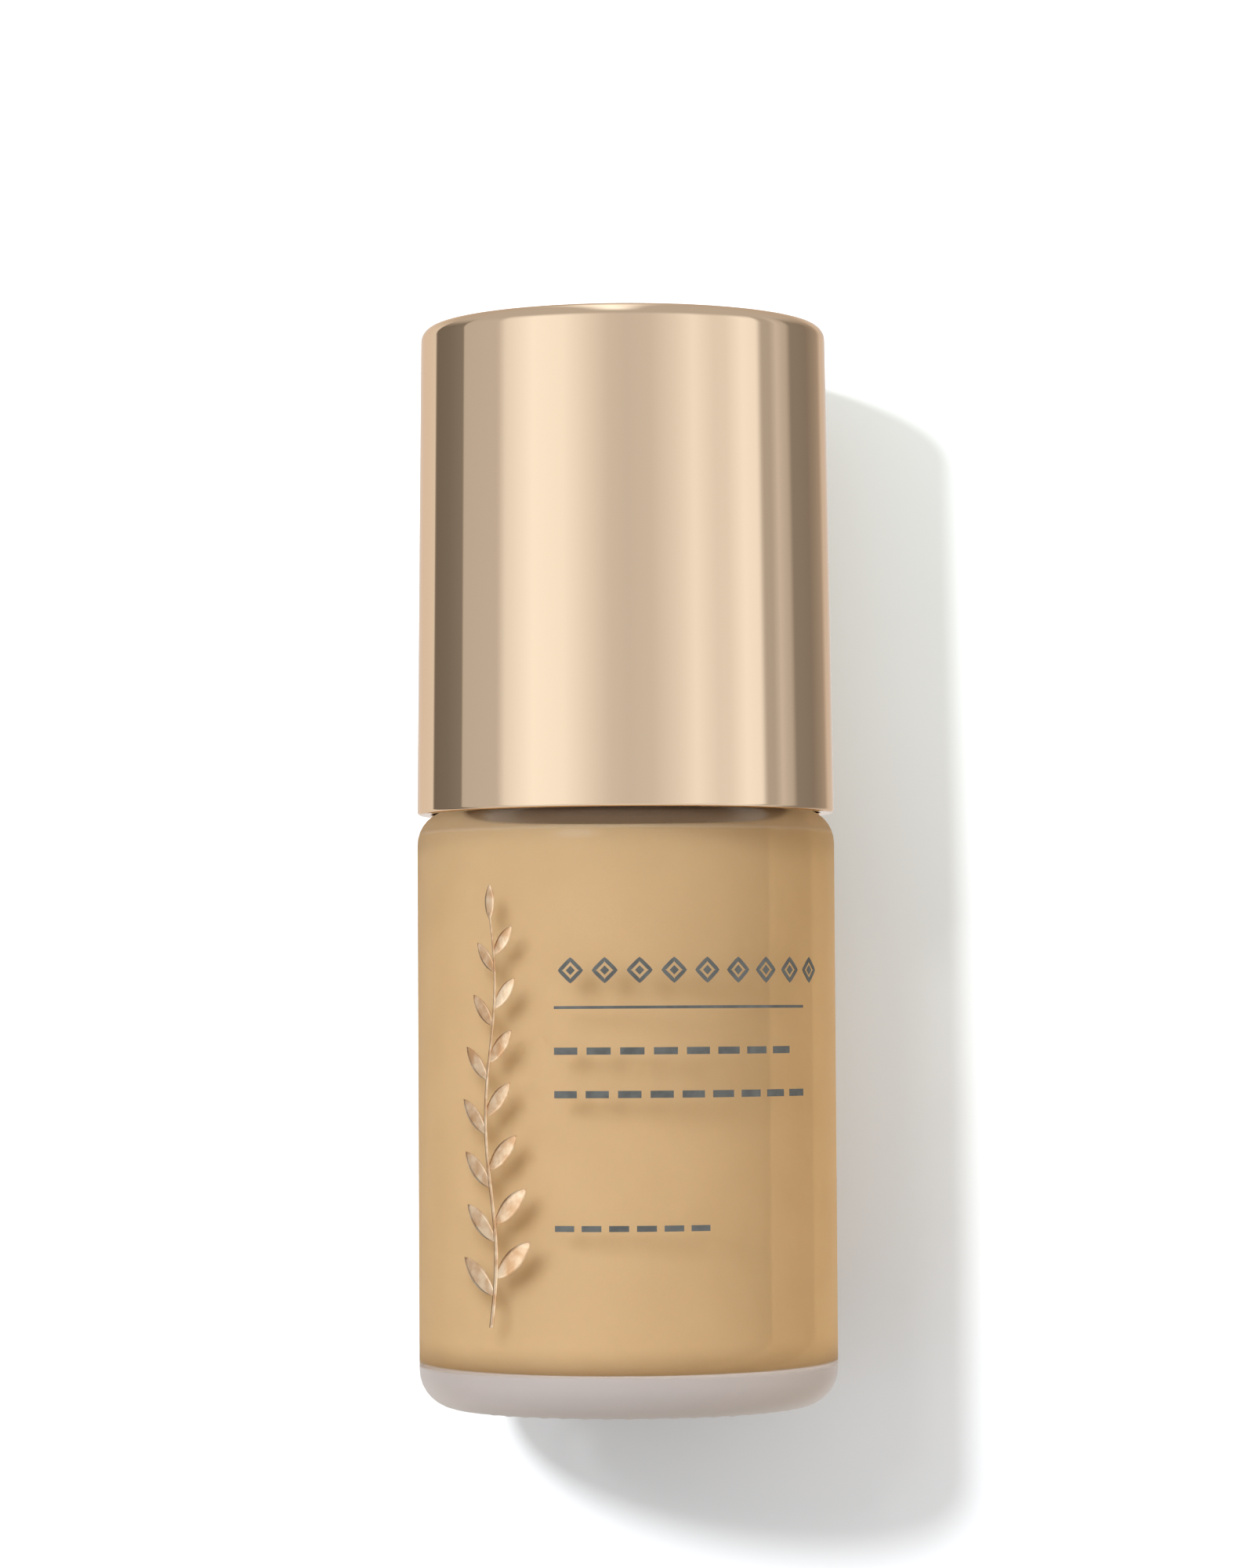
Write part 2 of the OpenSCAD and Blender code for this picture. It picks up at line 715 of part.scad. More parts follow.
glass_bottle();
foundation_fill();
shade_label();
foil_sprig();
ink_frieze();
cap_shell();
cap_liner();
screw_closure();
collar_sleeve();
neck_gasket();
pump_housing();
lock_ring();
dip_tube();
return_spring();
inlet_ball();
pump_stem();
valve_plug();
piston_seal();
head_core();
head_shell();
nozzle_insert();
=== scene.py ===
"""Looks of a pump foundation bottle: frosted glass, liquid, prints, pump, collar and metallised over-cap."""

import logging
import math
from dataclasses import dataclass, field
from enum import Enum
from typing import Any, Callable, Sequence

import bpy
from mathutils import Euler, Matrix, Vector


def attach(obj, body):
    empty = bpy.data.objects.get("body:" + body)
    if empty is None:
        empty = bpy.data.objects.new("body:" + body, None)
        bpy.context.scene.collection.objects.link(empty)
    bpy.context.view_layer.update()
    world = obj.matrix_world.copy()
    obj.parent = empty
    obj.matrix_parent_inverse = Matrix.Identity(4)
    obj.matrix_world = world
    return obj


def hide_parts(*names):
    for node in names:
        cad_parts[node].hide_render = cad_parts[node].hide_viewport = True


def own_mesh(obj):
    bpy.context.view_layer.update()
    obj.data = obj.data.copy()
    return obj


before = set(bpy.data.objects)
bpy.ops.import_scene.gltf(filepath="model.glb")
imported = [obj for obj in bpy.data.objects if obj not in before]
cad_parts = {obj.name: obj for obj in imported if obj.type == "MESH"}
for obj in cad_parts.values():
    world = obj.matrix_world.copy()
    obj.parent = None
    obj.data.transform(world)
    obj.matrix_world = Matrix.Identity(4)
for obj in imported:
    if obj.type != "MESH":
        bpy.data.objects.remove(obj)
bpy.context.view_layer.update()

log = logging.getLogger("bottle")
MM = 0.001
TURN = 2 * math.pi
CLOSE = 1e-6

Colour = tuple[float, float, float]
Point = tuple[float, float]  # a place on a section, or any other pair


def tone(red: int, green: int, blue: int) -> Colour:
    """A linear colour from the 0-255 values of a colour chip.

    Args:
        red: the red channel, 0 to 255.
        green: the green channel.
        blue: the blue channel.

    Returns:
        The linear colour.
    """

    def linear(value: float) -> float:
        """One channel, from display to linear."""
        value /= 255
        return value / 12.92 if value <= 0.04045 else ((value + 0.055) / 1.055) ** 2.4

    return (linear(red), linear(green), linear(blue))


def placed(name: str, data: Any) -> Any:
    """A new object with that data, in the scene.

    Args:
        name: the object's name.
        data: its mesh, light or camera.

    Returns:
        The new object.
    """
    obj = bpy.data.objects.new(name, data)
    bpy.context.scene.collection.objects.link(obj)
    return obj


# ---------------------------------------------------------------- node trees


class Num:
    """A number socket that takes part in Python expressions, which add Math nodes."""

    def __init__(self, graph: "Graph", socket: Any) -> None:
        """Wraps a socket of the graph, or a plain number."""
        self.graph = graph
        self.socket = socket

    def math(self, operation: str, *others: Any) -> "Num":
        """The result of a Math node on this number and others.

        Args:
            operation: the Math node's operation.
            *others: numbers or wrapped sockets for its further inputs.

        Returns:
            The wrapped result.
        """
        values = dict(enumerate((self, *others)))
        node = self.graph.add("ShaderNodeMath", {"operation": operation}, values)
        return Num(self.graph, node.outputs[0])

    def __add__(self, other: Any) -> "Num":
        """This plus other."""
        return self.math("ADD", other)

    __radd__ = __add__

    def __mul__(self, other: Any) -> "Num":
        """This times other."""
        return self.math("MULTIPLY", other)

    __rmul__ = __mul__

    def __sub__(self, other: Any) -> "Num":
        """This minus other."""
        return self.math("SUBTRACT", other)

    def __rsub__(self, other: Any) -> "Num":
        """Other minus this."""
        return Num(self.graph, other).math("SUBTRACT", self)

    def __truediv__(self, other: Any) -> "Num":
        """This over other."""
        return self.math("DIVIDE", other)

    def __neg__(self) -> "Num":
        """This with its sign turned."""
        return self.math("MULTIPLY", -1.0)

    def step(self, low: float, high: float) -> "Num":
        """A smooth step of this number, 0 at low and 1 at high.

        Args:
            low: where it leaves 0.
            high: where it reaches 1.

        Returns:
            The wrapped step.
        """
        node = self.graph.add(
            "ShaderNodeMapRange",
            {"interpolation_type": "SMOOTHSTEP"},
            {0: self, 1: low, 2: high, 3: 0.0, 4: 1.0},
        )
        return Num(self.graph, node.outputs[0])


class Graph:
    """Adds nodes to one shader, world or geometry tree."""

    def __init__(self, tree: Any) -> None:
        """Starts the tree from empty."""
        self.tree = tree
        tree.nodes.clear()

    def add(
        self, kind: str, settings: dict[str, Any] | None = None, sockets: dict[Any, Any] | None = None
    ) -> Any:
        """Adds a node.

        Args:
            kind: the node's type.
            settings: its own settings, set first; "stops" holds a ramp's (place, colour) pairs.
            sockets: values or links of its inputs, by name or number.

        Returns:
            The new node.
        """
        node = self.tree.nodes.new(kind)
        for name, value in (settings or {}).items():
            if name == "stops":
                self.set_stops(node.color_ramp, value)
            else:
                setattr(node, name, value)
        for key, value in (sockets or {}).items():
            self.feed(node.inputs[key], value)
        return node

    def feed(self, socket: Any, value: Any) -> None:
        """Links or sets one input socket.

        Args:
            socket: the input.
            value: a number, colour, socket or node.
        """
        if isinstance(value, Num):
            value = value.socket
        if isinstance(value, bpy.types.NodeSocket):
            self.tree.links.new(value, socket)
        elif isinstance(value, bpy.types.Node):
            self.tree.links.new(value.outputs[0], socket)
        elif isinstance(value, tuple) and len(value) == 3 and socket.type == "RGBA":
            socket.default_value = (*value, 1.0)
        else:
            socket.default_value = value

    @staticmethod
    def set_stops(ramp: Any, stops: Sequence[tuple[float, Colour]]) -> None:
        """Gives a colour ramp its stops.

        Args:
            ramp: the ramp.
            stops: pairs of place and colour, in order.
        """
        while len(ramp.elements) > 1:
            ramp.elements.remove(ramp.elements[-1])
        ramp.elements[0].position = stops[0][0]
        ramp.elements[0].color = (*stops[0][1], 1.0)
        for place, colour in stops[1:]:
            ramp.elements.new(place).color = (*colour, 1.0)

    def mix(self, factor: Any, first: Any, second: Any) -> Any:
        """The colour between first and second."""
        node = self.add("ShaderNodeMix", {"data_type": "RGBA"}, {0: factor, 6: first, 7: second})
        return node.outputs[2]

    def axes(self, source: Any) -> tuple[Num, Num, Num]:
        """The x, y and z of a vector socket."""
        node = self.add("ShaderNodeSeparateXYZ", None, {0: source})
        return tuple(Num(self, output) for output in node.outputs)

    def vector(self, x: Any, y: Any, z: Any) -> Any:
        """A vector socket from three numbers."""
        return self.add("ShaderNodeCombineXYZ", None, {0: x, 1: y, 2: z}).outputs[0]

    def blend(self, factor: Any, first: Any, second: Any) -> Any:
        """The shader between first and second."""
        return self.add("ShaderNodeMixShader", None, {0: factor, 1: first, 2: second})

    def bump(self, strength: float, depth: float, height: Any) -> Any:
        """A bump of that depth in millimetres."""
        sockets = {"Strength": strength, "Distance": depth * MM, "Height": height}
        return self.add("ShaderNodeBump", None, sockets)

    def leaving(self) -> Num:
        """1 where light leaves through the back of a surface, else 0."""
        return Num(self, self.add("ShaderNodeNewGeometry").outputs["Backfacing"])

    def object_place(self) -> Any:
        """The place on the object, in metres, as a vector socket."""
        return self.add("ShaderNodeTexCoord").outputs["Object"]

    def noise(self, place: Any, scale: float, detail: float = 2.0, stretch: Vector | None = None) -> Num:
        """Noise from 0 to 1 at a place, in features per metre.

        Args:
            place: the vector socket that it is read at.
            scale: features per metre.
            detail: octaves.
            stretch: factors on the three axes, if any.

        Returns:
            The wrapped noise value.
        """
        if stretch is not None:
            mapping = self.add("ShaderNodeMapping", None, {"Vector": place, "Scale": stretch})
            place = mapping.outputs[0]
        node = self.add("ShaderNodeTexNoise", None, {"Vector": place, "Scale": scale, "Detail": detail})
        return Num(self, node.outputs[0])


# ---------------------------------------------------------------- finishes


@dataclass(frozen=True)
class Finish:
    """A surface finish: its colour, gloss and fine texture."""

    name: str
    colour: Colour
    shade: Colour
    roughness: float
    metallic: float = 0.0
    grain: float = 4000.0
    relief: float = 0.004
    mottle: float = 160.0
    stretch: tuple[float, float, float] = (1.0, 1.0, 1.0)
    extra: tuple[tuple[str, Any], ...] = ()

    def make(self) -> Any:
        """Builds the material.

        Returns:
            The new material.
        """
        material = bpy.data.materials.new(self.name)
        material.use_nodes = True
        graph = Graph(material.node_tree)
        self.close(graph, self.shader(graph, graph.object_place()))
        return material

    def rough(self, fine: Num) -> Num:
        """The roughness, which varies by 15 % each way with the fine grain."""
        return self.roughness * (0.85 + 0.3 * fine)

    def shader(self, graph: Graph, place: Any) -> Any:
        """The finish's main shader node.

        Args:
            graph: the material's graph.
            place: the place on the object, as a vector socket.

        Returns:
            The shader node.
        """
        fine = graph.noise(place, self.grain, 3.0, Vector(self.stretch))
        broad = graph.noise(place, self.mottle, 2.0, Vector(self.stretch))
        sockets = {
            "Base Color": graph.mix(broad.step(0.3, 0.7), self.colour, self.shade),
            "Roughness": self.rough(fine),
            "Metallic": self.metallic,
            "Normal": graph.bump(0.35, self.relief, fine),
            **dict(self.extra),
        }
        return graph.add("ShaderNodeBsdfPrincipled", None, sockets)

    def close(self, graph: Graph, shader: Any) -> None:
        """Links the shader to the output."""
        graph.add("ShaderNodeOutputMaterial", None, {"Surface": shader})


@dataclass(frozen=True)
class FrostedGlass(Finish):
    """Etched glass below the neck, and clear fire-polished glass on the neck. Heights in metres.

    The two layer shares are those of a milky layer in the base and of a dark layer in the shoulder, which is
    painted shade of the cap above it; the gloss is the base's coat, and the matt share how much of the etched
    outside refracts and doesn't reflect. The base's layer turns lighter towards the foot, painted light that
    makes up for the little light from below.
    """

    frost_top: float = 0.0512
    base_top: float = 0.00375
    shoulder_low: float = 0.0491
    wall_r: float = 0.016
    shade_cast: float = 0.9
    veil_and_shade_shares: Point = (0.55, 0.35)
    gloss: float = 0.8
    matt_share: float = 0.9
    refraction: float = 1.5
    mirror: float = 0.12
    polish: float = 0.04
    base_tint: Colour = (0.78, 0.74, 0.71)
    base_veil: Colour = (0.45, 0.405, 0.38)
    # painted light: a lighter colour at the foot of the base, where little light comes from below
    foot_painted_light: Colour = (0.72, 0.67, 0.64)
    # painted shade: a dark brown colour for the shade in the shoulder under the cap
    shoulder_painted_shade: Colour = (0.24, 0.15, 0.08)

    def shader(self, graph: Graph, place: Any) -> Any:
        """Rough transmission with an etched grain, milkier in the base and painted lighter towards its foot,
        darkened in the shoulder by painted shade, and a smooth neck.

        Args:
            graph: the material's graph.
            place: the place on the object, as a vector socket.

        Returns:
            The last shader node.
        """
        fine = graph.noise(place, self.grain, 2.0)
        height = graph.axes(place)[2]
        etched = 1 - height.step(self.frost_top, self.frost_top + 0.8 * MM)
        base = 1 - height.step(self.base_top - 0.25 * MM, self.base_top + 0.1 * MM)
        shoulder = height.step(self.shoulder_low, self.shoulder_low + 0.5 * MM) * etched
        bump = graph.bump(0.25, self.relief, fine)
        body = graph.mix(fine, self.colour, self.shade)
        rough = self.rough(fine)
        sockets = {
            "Base Color": graph.mix(base, body, self.base_tint),
            "Roughness": self.polish + etched * rough + (base + shoulder) * 0.3,
            "Normal": bump,
            "Transmission Weight": 1.0,
            "IOR": self.refraction,
            "Specular IOR Level": self.mirror,
            "Coat Weight": base * self.gloss,
            "Coat Roughness": 0.3,
        }
        clear = graph.add("ShaderNodeBsdfPrincipled", None, sockets)
        sockets = {"Color": body, "Roughness": rough, "IOR": self.refraction, "Normal": bump}
        matt = graph.add("ShaderNodeBsdfRefraction", None, sockets)
        share = (1 - graph.leaving()) * etched * (1 - base) * self.matt_share
        clear = graph.blend(share, clear, matt)
        # the diffuse layer's colour by height: painted light towards the foot, painted shade in the shoulder
        veil_colour_and_painted_shading = graph.mix(height.step(-0.5 * MM, self.base_top), self.foot_painted_light, self.base_veil)
        veil_colour_and_painted_shading = graph.mix(shoulder, veil_colour_and_painted_shading, self.shoulder_painted_shade)
        veil_and_shading_bsdf = graph.add("ShaderNodeBsdfDiffuse", None, {"Color": veil_colour_and_painted_shading, "Normal": bump})
        return graph.blend(base * self.veil_and_shade_shares[0] + shoulder * self.veil_and_shade_shares[1], clear, veil_and_shading_bsdf)

    def close(self, graph: Graph, shader: Any) -> None:
        """Lets the lamps' light in to what stands in the glass, which itself still casts a shade.

        Args:
            graph: the material's graph.
            shader: the glass's last shader node.
        """
        x, y, z = graph.axes(graph.object_place())
        outer = (x * x + y * y).math("SQRT").step(self.wall_r - 0.1 * MM, self.wall_r)
        outer = outer.math("MAXIMUM", 1 - z.step(0.6 * MM, 0.8 * MM))
        leaving = graph.leaving()
        shadow = Num(graph, graph.add("ShaderNodeLightPath").outputs["Is Shadow Ray"])
        passing = shadow * (1 - outer * (1 - leaving) * self.shade_cast)
        clear = graph.add("ShaderNodeBsdfTransparent", None, {"Color": tone(250, 248, 246)})
        graph.add("ShaderNodeOutputMaterial", None, {"Surface": graph.blend(passing, shader, clear)})


@dataclass(frozen=True)
class LabelPaper(Finish):
    """A white label with a printed ring and disc about the bottle's axis. Radii in millimetres."""

    ring: Colour = (0.3, 0.22, 0.16)
    ring_low: float = 9.9
    ring_high: float = 10.4
    disc: float = 4.9
    edge: float = 0.1

    def shader(self, graph: Graph, place: Any) -> Any:
        """Paper fibres with the print on them.

        Args:
            graph: the material's graph.
            place: the place on the object, as a vector socket.

        Returns:
            The shader node.
        """
        x, y, _ = graph.axes(place)
        radius = (x * x + y * y).math("SQRT")
        fibre = graph.noise(place, 3000.0, 3.0)
        low, high, disc = (
            radius.step(start * MM, (start + self.edge) * MM)
            for start in (self.ring_low, self.ring_high, self.disc)
        )
        paper = graph.mix(fibre, self.colour, self.shade)
        sockets = {
            "Base Color": graph.mix(low * (1 - high) + (1 - disc), paper, self.ring),
            "Roughness": 0.55 + 0.2 * fibre,
            "Normal": graph.bump(0.3, 0.01, fibre),
        }
        return graph.add("ShaderNodeBsdfPrincipled", None, sockets)


class Finishes(Enum):
    """The finishes that the object's pieces wear."""

    GLASS = FrostedGlass(
        "frosted glass", tone(250, 246, 243), tone(244, 238, 234), 0.13, grain=9000.0, relief=0.003
    )
    LIQUID = Finish(
        "beige foundation liquid", tone(203, 173, 127), tone(200, 170, 124), 0.42, relief=0.001,
        extra=(
            ("Specular IOR Level", 0.0), ("Subsurface Weight", 0.25), ("Subsurface Scale", 0.002),
            ("Subsurface Radius", (1.0, 0.6, 0.35)),
        ),
    )
    ROSE_GOLD = Finish(
        "metallised rose gold", tone(231, 206, 177), tone(229, 204, 176), 0.05, metallic=1.0,
        grain=900.0, relief=0.0006, mottle=60.0, stretch=(1.0, 1.0, 0.12),
        extra=(("Specular Tint", (0.93, 0.78, 0.66, 1.0)),),
    )
    FOIL = Finish(
        "hot-stamped foil", tone(255, 228, 194), tone(222, 176, 132), 0.18, metallic=1.0,
        grain=2600.0, relief=0.03, mottle=700.0,
    )
    INK = Finish("dark grey screen ink", tone(73, 74, 70), tone(89, 90, 85), 0.3, relief=0.004, mottle=900.0)
    PAPER = LabelPaper("label paper", tone(240, 236, 230), tone(230, 225, 218), 0.6)
    WHITE_PLASTIC = Finish(
        "white moulded plastic", tone(236, 233, 228), tone(230, 227, 221), 0.38, grain=2500.0, relief=0.004,
        extra=(("Subsurface Weight", 0.1), ("Subsurface Scale", 0.001)),
    )
    CLEAR_PLASTIC = Finish(
        "natural polypropylene", tone(226, 224, 219), tone(218, 216, 211), 0.32, relief=0.004,
        extra=(("Transmission Weight", 0.35), ("IOR", 1.49)),
    )
    SEAL = Finish("soft seal plastic", tone(214, 210, 202), tone(206, 202, 194), 0.5, relief=0.005)
    FOAM = Finish(
        "pressed foam gasket", tone(222, 218, 209), tone(198, 193, 183), 0.85, grain=5000.0, relief=0.05
    )
    STEEL = Finish(
        "stainless steel", tone(196, 196, 196), tone(180, 181, 182), 0.2, metallic=1.0,
        grain=3000.0, relief=0.002,
    )


class Wardrobe:
    """Makes each finish once and puts it on pieces."""

    def __init__(self) -> None:
        """Starts with nothing made."""
        self.made: dict[Finishes, Any] = {}

    def get(self, finish: Finishes) -> Any:
        """The material of a finish.

        Args:
            finish: the finish.

        Returns:
            Its material, made at the first call.
        """
        if finish not in self.made:
            self.made[finish] = finish.value.make()
        return self.made[finish]

    def dress(self, obj: Any, finish: Finishes) -> None:
        """Gives every slot of a piece the finish.

        Args:
            obj: the piece.
            finish: what it wears.
        """
        material = self.get(finish)
        if not obj.material_slots:
            obj.data.materials.append(material)
        for slot in obj.material_slots:
            slot.material = material


# ---------------------------------------------------------------- turned shapes


@dataclass
class Corner:
    """A corner of a turned outline: radius from the axis, height, and its rounding."""

    r: float
    z: float
    fillet: float = 0.0


@dataclass
class Outline:
    """The section of a turned part, with its corners anticlockwise as seen with the axis on the left."""

    corners: list[Corner]
    support: float = 0.12
    steps: int = 8

    @classmethod
    def of(cls, *corners: tuple[float, ...], steps: int = 8) -> "Outline":
        """An outline from corners of (radius, height) or (radius, height, fillet)."""
        return cls([Corner(*corner) for corner in corners], steps=steps)

    def rounded(self) -> list[Point]:
        """The section's points in millimetres, with each rounding as an arc and supports beside it.

        Returns:
            The points, in order.
        """
        points: list[Point] = []
        count = len(self.corners)
        for index, corner in enumerate(self.corners):
            before = self.corners[index - 1]
            after = self.corners[(index + 1) % count]
            if corner.r < CLOSE:
                points.append((0.0, corner.z))
                continue
            points.extend(self.turn(before, corner, after))
        return points

    def turn(self, before: Corner, corner: Corner, after: Corner) -> list[Point]:
        """The points that take the outline round one corner.

        Args:
            before: the corner before it.
            corner: the corner itself.
            after: the corner after it.

        Returns:
            Points from the side before to the side after.
        """
        here = Vector((corner.r, corner.z))
        back = Vector((before.r, before.z)) - here
        ahead = Vector((after.r, after.z)) - here
        back_length = back.length
        ahead_length = ahead.length
        back.normalize()
        ahead.normalize()
        angle = back.angle(ahead)
        setback = corner.fillet / math.tan(angle / 2) if corner.fillet > 0 else 0.0
        points: list[Vector] = []
        if back_length > setback + 3 * self.support:
            points.append(here + back * (setback + self.support))
        if corner.fillet > 0:
            centre = here + (back + ahead).normalized() * (corner.fillet / math.sin(angle / 2))
            start = here + back * setback - centre
            end = here + ahead * setback - centre
            first = math.atan2(start.y, start.x)
            sweep = math.remainder(math.atan2(end.y, end.x) - first, TURN)
            for step in range(self.steps + 1):
                at = first + sweep * step / self.steps
                points.append(centre + corner.fillet * Vector((math.cos(at), math.sin(at))))
        else:
            points.append(here)
        if ahead_length > setback + 3 * self.support:
            points.append(here + ahead * (setback + self.support))
        return [(point.x, point.y) for point in points]

    @staticmethod
    def sharp_rings(points: Sequence[Point], limit: float = 0.6) -> set[int]:
        """The numbers of the points where the outline turns sharply.

        Args:
            points: the section's points.
            limit: the smallest sharp turn, in radians.

        Returns:
            The numbers of those points.
        """
        sharp = set()
        count = len(points)
        for index in range(count):
            a = Vector(points[index]) - Vector(points[index - 1])
            b = Vector(points[(index + 1) % count]) - Vector(points[index])
            if a.length > CLOSE and b.length > CLOSE and a.angle(b) > limit:
                sharp.add(index)
        return sharp


Relief = Callable[[float, float, float], float]


def turned(name: str, points: Sequence[Point], segments: int = 160, relief: Relief | None = None) -> Any:
    """A closed turned mesh about the Z axis.

    Args:
        name: the piece's name.
        points: its section in millimetres, anticlockwise; points on the axis become poles.
        segments: steps round the axis.
        relief: gives a point's radius from its radius, height and angle, if any.

    Returns:
        The new object.
    """
    vertices: list[tuple[float, float, float]] = []
    rings: list[list[int]] = []
    for radius, height in points:
        if radius < CLOSE:
            rings.append([len(vertices)])
            vertices.append((0.0, 0.0, height * MM))
            continue
        rings.append(list(range(len(vertices), len(vertices) + segments)))
        for step in range(segments):
            angle = TURN * step / segments
            r = relief(radius, height, angle) if relief else radius
            vertices.append((r * math.cos(angle) * MM, r * math.sin(angle) * MM, height * MM))
    faces: list[tuple[int, ...]] = []
    for index, low in enumerate(rings):
        high = rings[(index + 1) % len(rings)]
        if len(low) == 1 and len(high) == 1:
            continue
        for step in range(segments):
            after = (step + 1) % segments
            if len(low) == 1:
                faces.append((low[0], high[after], high[step]))
            elif len(high) == 1:
                faces.append((low[step], low[after], high[0]))
            else:
                faces.append((low[step], low[after], high[after], high[step]))
    mesh = bpy.data.meshes.new(name)
    mesh.from_pydata(vertices, [], faces)
    mesh.update()
    mesh.shade_smooth()
    sharp = Outline.sharp_rings(points)
    owner = {vertex: ring for ring, members in enumerate(rings) for vertex in members}
    marks = mesh.attributes.new("sharp_edge", "BOOLEAN", "EDGE")
    for edge in mesh.edges:
        first, second = (owner[vertex] for vertex in edge.vertices)
        marks.data[edge.index].value = first == second and first in sharp
    return placed(name, mesh)


# ---------------------------------------------------------------- repeated shapes


class Ruled:
    """A geometry tree with named inputs, whose result becomes a plain mesh."""

    def __init__(self, name: str) -> None:
        """Starts an empty tree of that name.

        Args:
            name: the tree's name.
        """
        self.tree = bpy.data.node_groups.new(name, "GeometryNodeTree")
        self.graph = Graph(self.tree)
        self.source = self.graph.add("NodeGroupInput")
        self.values: dict[str, Any] = {}
        self.tree.interface.new_socket("Geometry", in_out="OUTPUT", socket_type="NodeSocketGeometry")

    def size(self, name: str, value: float, kind: str = "Float") -> Num:
        """Adds a named number input with its value.

        Args:
            name: the input's name.
            value: its value.
            kind: Float or Int.

        Returns:
            The wrapped input.
        """
        socket = self.tree.interface.new_socket(name, in_out="INPUT", socket_type="NodeSocket" + kind)
        self.values[socket.identifier] = value
        return Num(self.graph, self.source.outputs[name])

    def length(self, name: str, value: float) -> Num:
        """Adds a named length input with its value in millimetres."""
        return self.size(name, value * MM)

    def count(self, name: str, value: int) -> Num:
        """Adds a named whole-number input with its value."""
        return self.size(name, value, "Int")

    def made(self, kind: str, **sockets: Any) -> Any:
        """The first output of a new geometry node, whose inputs are named with _ for a space."""
        values = {name.replace("_", " "): value for name, value in sockets.items()}
        return self.graph.add("GeometryNode" + kind, None, values).outputs[0]

    def place(self) -> tuple[Num, Num, Num]:
        """The x, y and z of each point."""
        return self.graph.axes(self.made("InputPosition"))

    def index(self) -> Num:
        """The number of each point."""
        return Num(self.graph, self.made("InputIndex"))

    def join(self, *parts: Any) -> Any:
        """The parts as one geometry, with their instances made real.

        Args:
            *parts: geometry sockets, in order.

        Returns:
            The joined geometry.
        """
        joined = self.graph.add("GeometryNodeJoinGeometry")
        for part in parts:
            self.tree.links.new(part, joined.inputs[0])
        return self.made("RealizeInstances", Geometry=joined.outputs[0])

    def move(self, geometry: Any, x: Any, y: Any, z: Any) -> Any:
        """The geometry with each point put at x, y, z."""
        return self.made("SetPosition", Geometry=geometry, Position=self.graph.vector(x, y, z))

    def block(self, x: int, y: int, z: int) -> Any:
        """A block of unit size with that many points along its sides."""
        return self.made("MeshCube", Size=(1.0, 1.0, 1.0), Vertices_X=x, Vertices_Y=y, Vertices_Z=z)

    def wrap(self, geometry: Any, radius: Any, turn: Any) -> Any:
        """Lays flat geometry round the body: x goes round it from the turn, y outwards, z up.

        Args:
            geometry: the flat geometry.
            radius: the body's radius.
            turn: the angle where x is 0, from the front.

        Returns:
            The laid geometry.
        """
        x, y, z = self.place()
        angle = x / radius + turn
        reach = y + radius
        laid = self.move(geometry, reach * angle.math("SINE"), -(reach * angle.math("COSINE")), z)
        return self.made("FlipFaces", Mesh=laid)

    def bake(self, name: str, geometry: Any, material: Any, smooth: bool = True) -> Any:
        """Ends the tree, and turns its result into a plain mesh object.

        Args:
            name: the piece's name.
            geometry: the tree's last geometry socket.
            material: the material it gets.
            smooth: whether its faces are shaded smooth.

        Returns:
            The new object, with no modifier left.
        """
        real = self.made("RealizeInstances", Geometry=geometry)
        shaded = self.made("SetShadeSmooth", Geometry=real, Shade_Smooth=smooth)
        dressed = self.made("SetMaterial", Geometry=shaded, Material=material)
        self.graph.add("NodeGroupOutput", None, {0: dressed})
        holder = placed(name + "_rule", bpy.data.meshes.new(name + "_rule"))
        modifier = holder.modifiers.new("rule", "NODES")
        modifier.node_group = self.tree
        for identifier, value in self.values.items():
            modifier[identifier] = value
        evaluated = holder.evaluated_get(bpy.context.evaluated_depsgraph_get())
        mesh = bpy.data.meshes.new_from_object(evaluated)
        mesh.name = name
        mesh.materials.clear()
        mesh.materials.append(material)
        mesh.polygons.foreach_set("material_index", [0] * len(mesh.polygons))
        holder.modifiers.clear()
        bpy.data.objects.remove(holder)
        return placed(name, mesh)


# ---------------------------------------------------------------- sub-assemblies


@dataclass
class Assembly:
    """A group of pieces that share the wardrobe."""

    wardrobe: Wardrobe

    def settle(self, obj: Any, body: str, slot: str, *stands_for: str) -> None:
        """Puts a finished piece on its body and lets it stand for its CAD nodes.

        Args:
            obj: the piece.
            body: the body that it moves with.
            slot: the record's material slot; not used.
            *stands_for: the CAD nodes that it replaces.
        """
        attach(obj, body)
        if stands_for:
            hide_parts(*stands_for)
        log.info("%s: %d faces on %s", obj.name, len(obj.data.polygons), body)

    def dress_nodes(self, finish: Finishes, *nodes: str) -> None:
        """Gives CAD nodes their finish.

        Args:
            finish: the finish.
            *nodes: the names of the nodes.
        """
        for node in nodes:
            self.wardrobe.dress(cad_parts[node], finish)
            log.info("%s: %s", node, finish.value.name)

    def turned_piece(self, name: str, outline: Outline, segments: int, finish: Finishes) -> Any:
        """A turned piece in its finish.

        Args:
            name: the piece's name.
            outline: its section.
            segments: steps round the axis.
            finish: what it wears.

        Returns:
            The new object.
        """
        obj = turned(name, outline.rounded(), segments)
        self.wardrobe.dress(obj, finish)
        return obj


